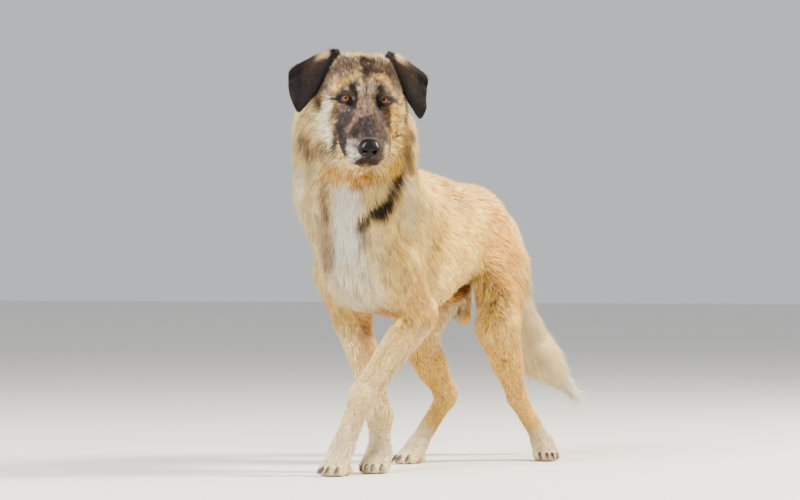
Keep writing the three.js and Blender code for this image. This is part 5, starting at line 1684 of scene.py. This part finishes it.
# ---- Claws ----
class SHEEPDOG_OT_claws(bpy.types.Operator):
    """Adds the claws, curved and blunt, at the ends of the toes"""
    bl_idname = "sheepdog.claws"
    bl_label = "Claws"

    def execute(self, context):
        parts = []
        length = settings().claw_length * 1000
        t = np.linspace(0, 1, 9)[:, None]
        radii = 4.4 * np.sqrt(np.clip(1 - t[:, 0] ** 1.8, 0.02, 1))
        for legs, sizes in ((FORE, FORE_PAW), (HIND, HIND_PAW)):
            for side in SIDES:
                forward, toes, _ = paw(legs[side], *sizes)
                for start, tip in toes:
                    ahead = unit((tip - start) * (1, 1, 0)) * 0.5 + forward * 0.5
                    spine = tip + ahead * (9 + t * (length + 6)) + np.array((0, 0, 1)) * (6 - 4 * t - 9.5 * t**2)
                    points, quads = tube(spine, radii, turns=10)
                    points[:, 2] = np.maximum(points[:, 2], 0.6)
                    parts.append((points, quads))
        attach(joined("claws", parts, self.material()))
        return {"FINISHED"}

    def material(self):
        g = Graph("claw_horn")
        claw = settings().claw
        streak = g.noise(g.place(), 340.0, 4.0)
        colour = g.mix(streak, linear(claw, 0.6), linear(claw, 1.9))
        return g.finish(colour, 0.36, Normal=g.bump(streak, 0.0003, 0.6))


# ---- Stage ----
FLOOR_REACH = 40.0
CAMERA_AT, CAMERA_TURN = (3450, -5976, 434), (90.535, 0, 30.468)
LAMPS = (  # name, place, what it points to, size, power and colour
    ("key", (-0.4, -4.3, 3.0), (0.05, -0.1, 0.5), 2.0, 500, (1.0, 0.97, 0.92)),
    ("fill", (-3.8, -2.0, 1.7), (0, -0.2, 0.5), 2.6, 150, (1.0, 0.98, 0.96)),
    ("sun", (3.4, 1.9, 3.0), (0, 0.05, 0.5), 1.2, 900, (1.0, 0.89, 0.70)),
)


class SHEEPDOG_OT_stage(bpy.types.Operator):
    """Adds the floor, the lights and the camera"""
    bl_idname = "sheepdog.stage"
    bl_label = "Stage"

    def execute(self, context):
        scene = context.scene
        mesh = bpy.data.meshes.new("studio_floor")
        corners = ((-1, -1), (1, -1), (1, 1), (-1, 1))
        mesh.from_pydata([(x * FLOOR_REACH, y * FLOOR_REACH, 0) for x, y in corners], [], [(0, 1, 2, 3)])
        g = Graph("studio_floor")
        colour = g.mix(g.noise(g.place(), 40.0, 4.0), linear(settings().floor), linear(settings().floor, 0.93))
        placed("studio_floor", mesh, g.finish(colour, 0.8))
        world = bpy.data.worlds.new("studio_air")
        world.use_nodes = True
        background = world.node_tree.nodes["Background"]
        background.inputs["Color"].default_value = paint(226, 228, 230)
        background.inputs["Strength"].default_value = 0.85
        scene.world = world
        for lamp in LAMPS:
            self.lamp(*lamp)
        self.camera(scene)
        return {"FINISHED"}

    def lamp(self, name, at, toward, size, power, colour):
        data = bpy.data.lights.new(name, "AREA")
        data.shape, data.size, data.energy, data.color = "DISK", size, power, colour
        made = placed(name, data)
        made.location = at
        made.rotation_euler = (Vector(toward) - Vector(at)).to_track_quat("-Z", "Y").to_euler()

    def camera(self, scene):
        data = bpy.data.cameras.new("camera")
        data.lens, data.sensor_width = settings().focal_length, 36
        data.clip_end = 60
        made = placed("camera", data)
        made.location = metres(CAMERA_AT)
        made.rotation_euler = [math.radians(degrees) for degrees in CAMERA_TURN]
        scene.camera = made


PIECES = (SHEEPDOG_OT_skin, SHEEPDOG_OT_nose, SHEEPDOG_OT_eyes, SHEEPDOG_OT_lids, SHEEPDOG_OT_whiskers,
          SHEEPDOG_OT_claws, SHEEPDOG_OT_ears, SHEEPDOG_OT_coat, SHEEPDOG_OT_stage)


class SHEEPDOG_PT_panel(bpy.types.Panel):
    """Lists the pieces of the sheepdog"""
    bl_idname = "SHEEPDOG_PT_panel"
    bl_label = "Sheepdog"
    bl_space_type = "VIEW_3D"
    bl_region_type = "UI"
    bl_category = "Sheepdog"

    def draw(self, context):
        layout = self.layout
        for key in SheepdogSettings.__annotations__:
            layout.prop(context.scene.sheepdog, key)
        for piece in PIECES:
            layout.operator(piece.bl_idname)


CLASSES = (SheepdogSettings, *PIECES, SHEEPDOG_PT_panel)


def register():
    for each in CLASSES:
        bpy.utils.register_class(each)
    bpy.types.Scene.sheepdog = bpy.props.PointerProperty(type=SheepdogSettings)


def unregister():
    del bpy.types.Scene.sheepdog
    for each in reversed(CLASSES):
        bpy.utils.unregister_class(each)


def main():
    register()
    for piece in PIECES:
        group, name = piece.bl_idname.split(".")
        getattr(getattr(bpy.ops, group), name)()


if __name__ == "__main__":
    main()
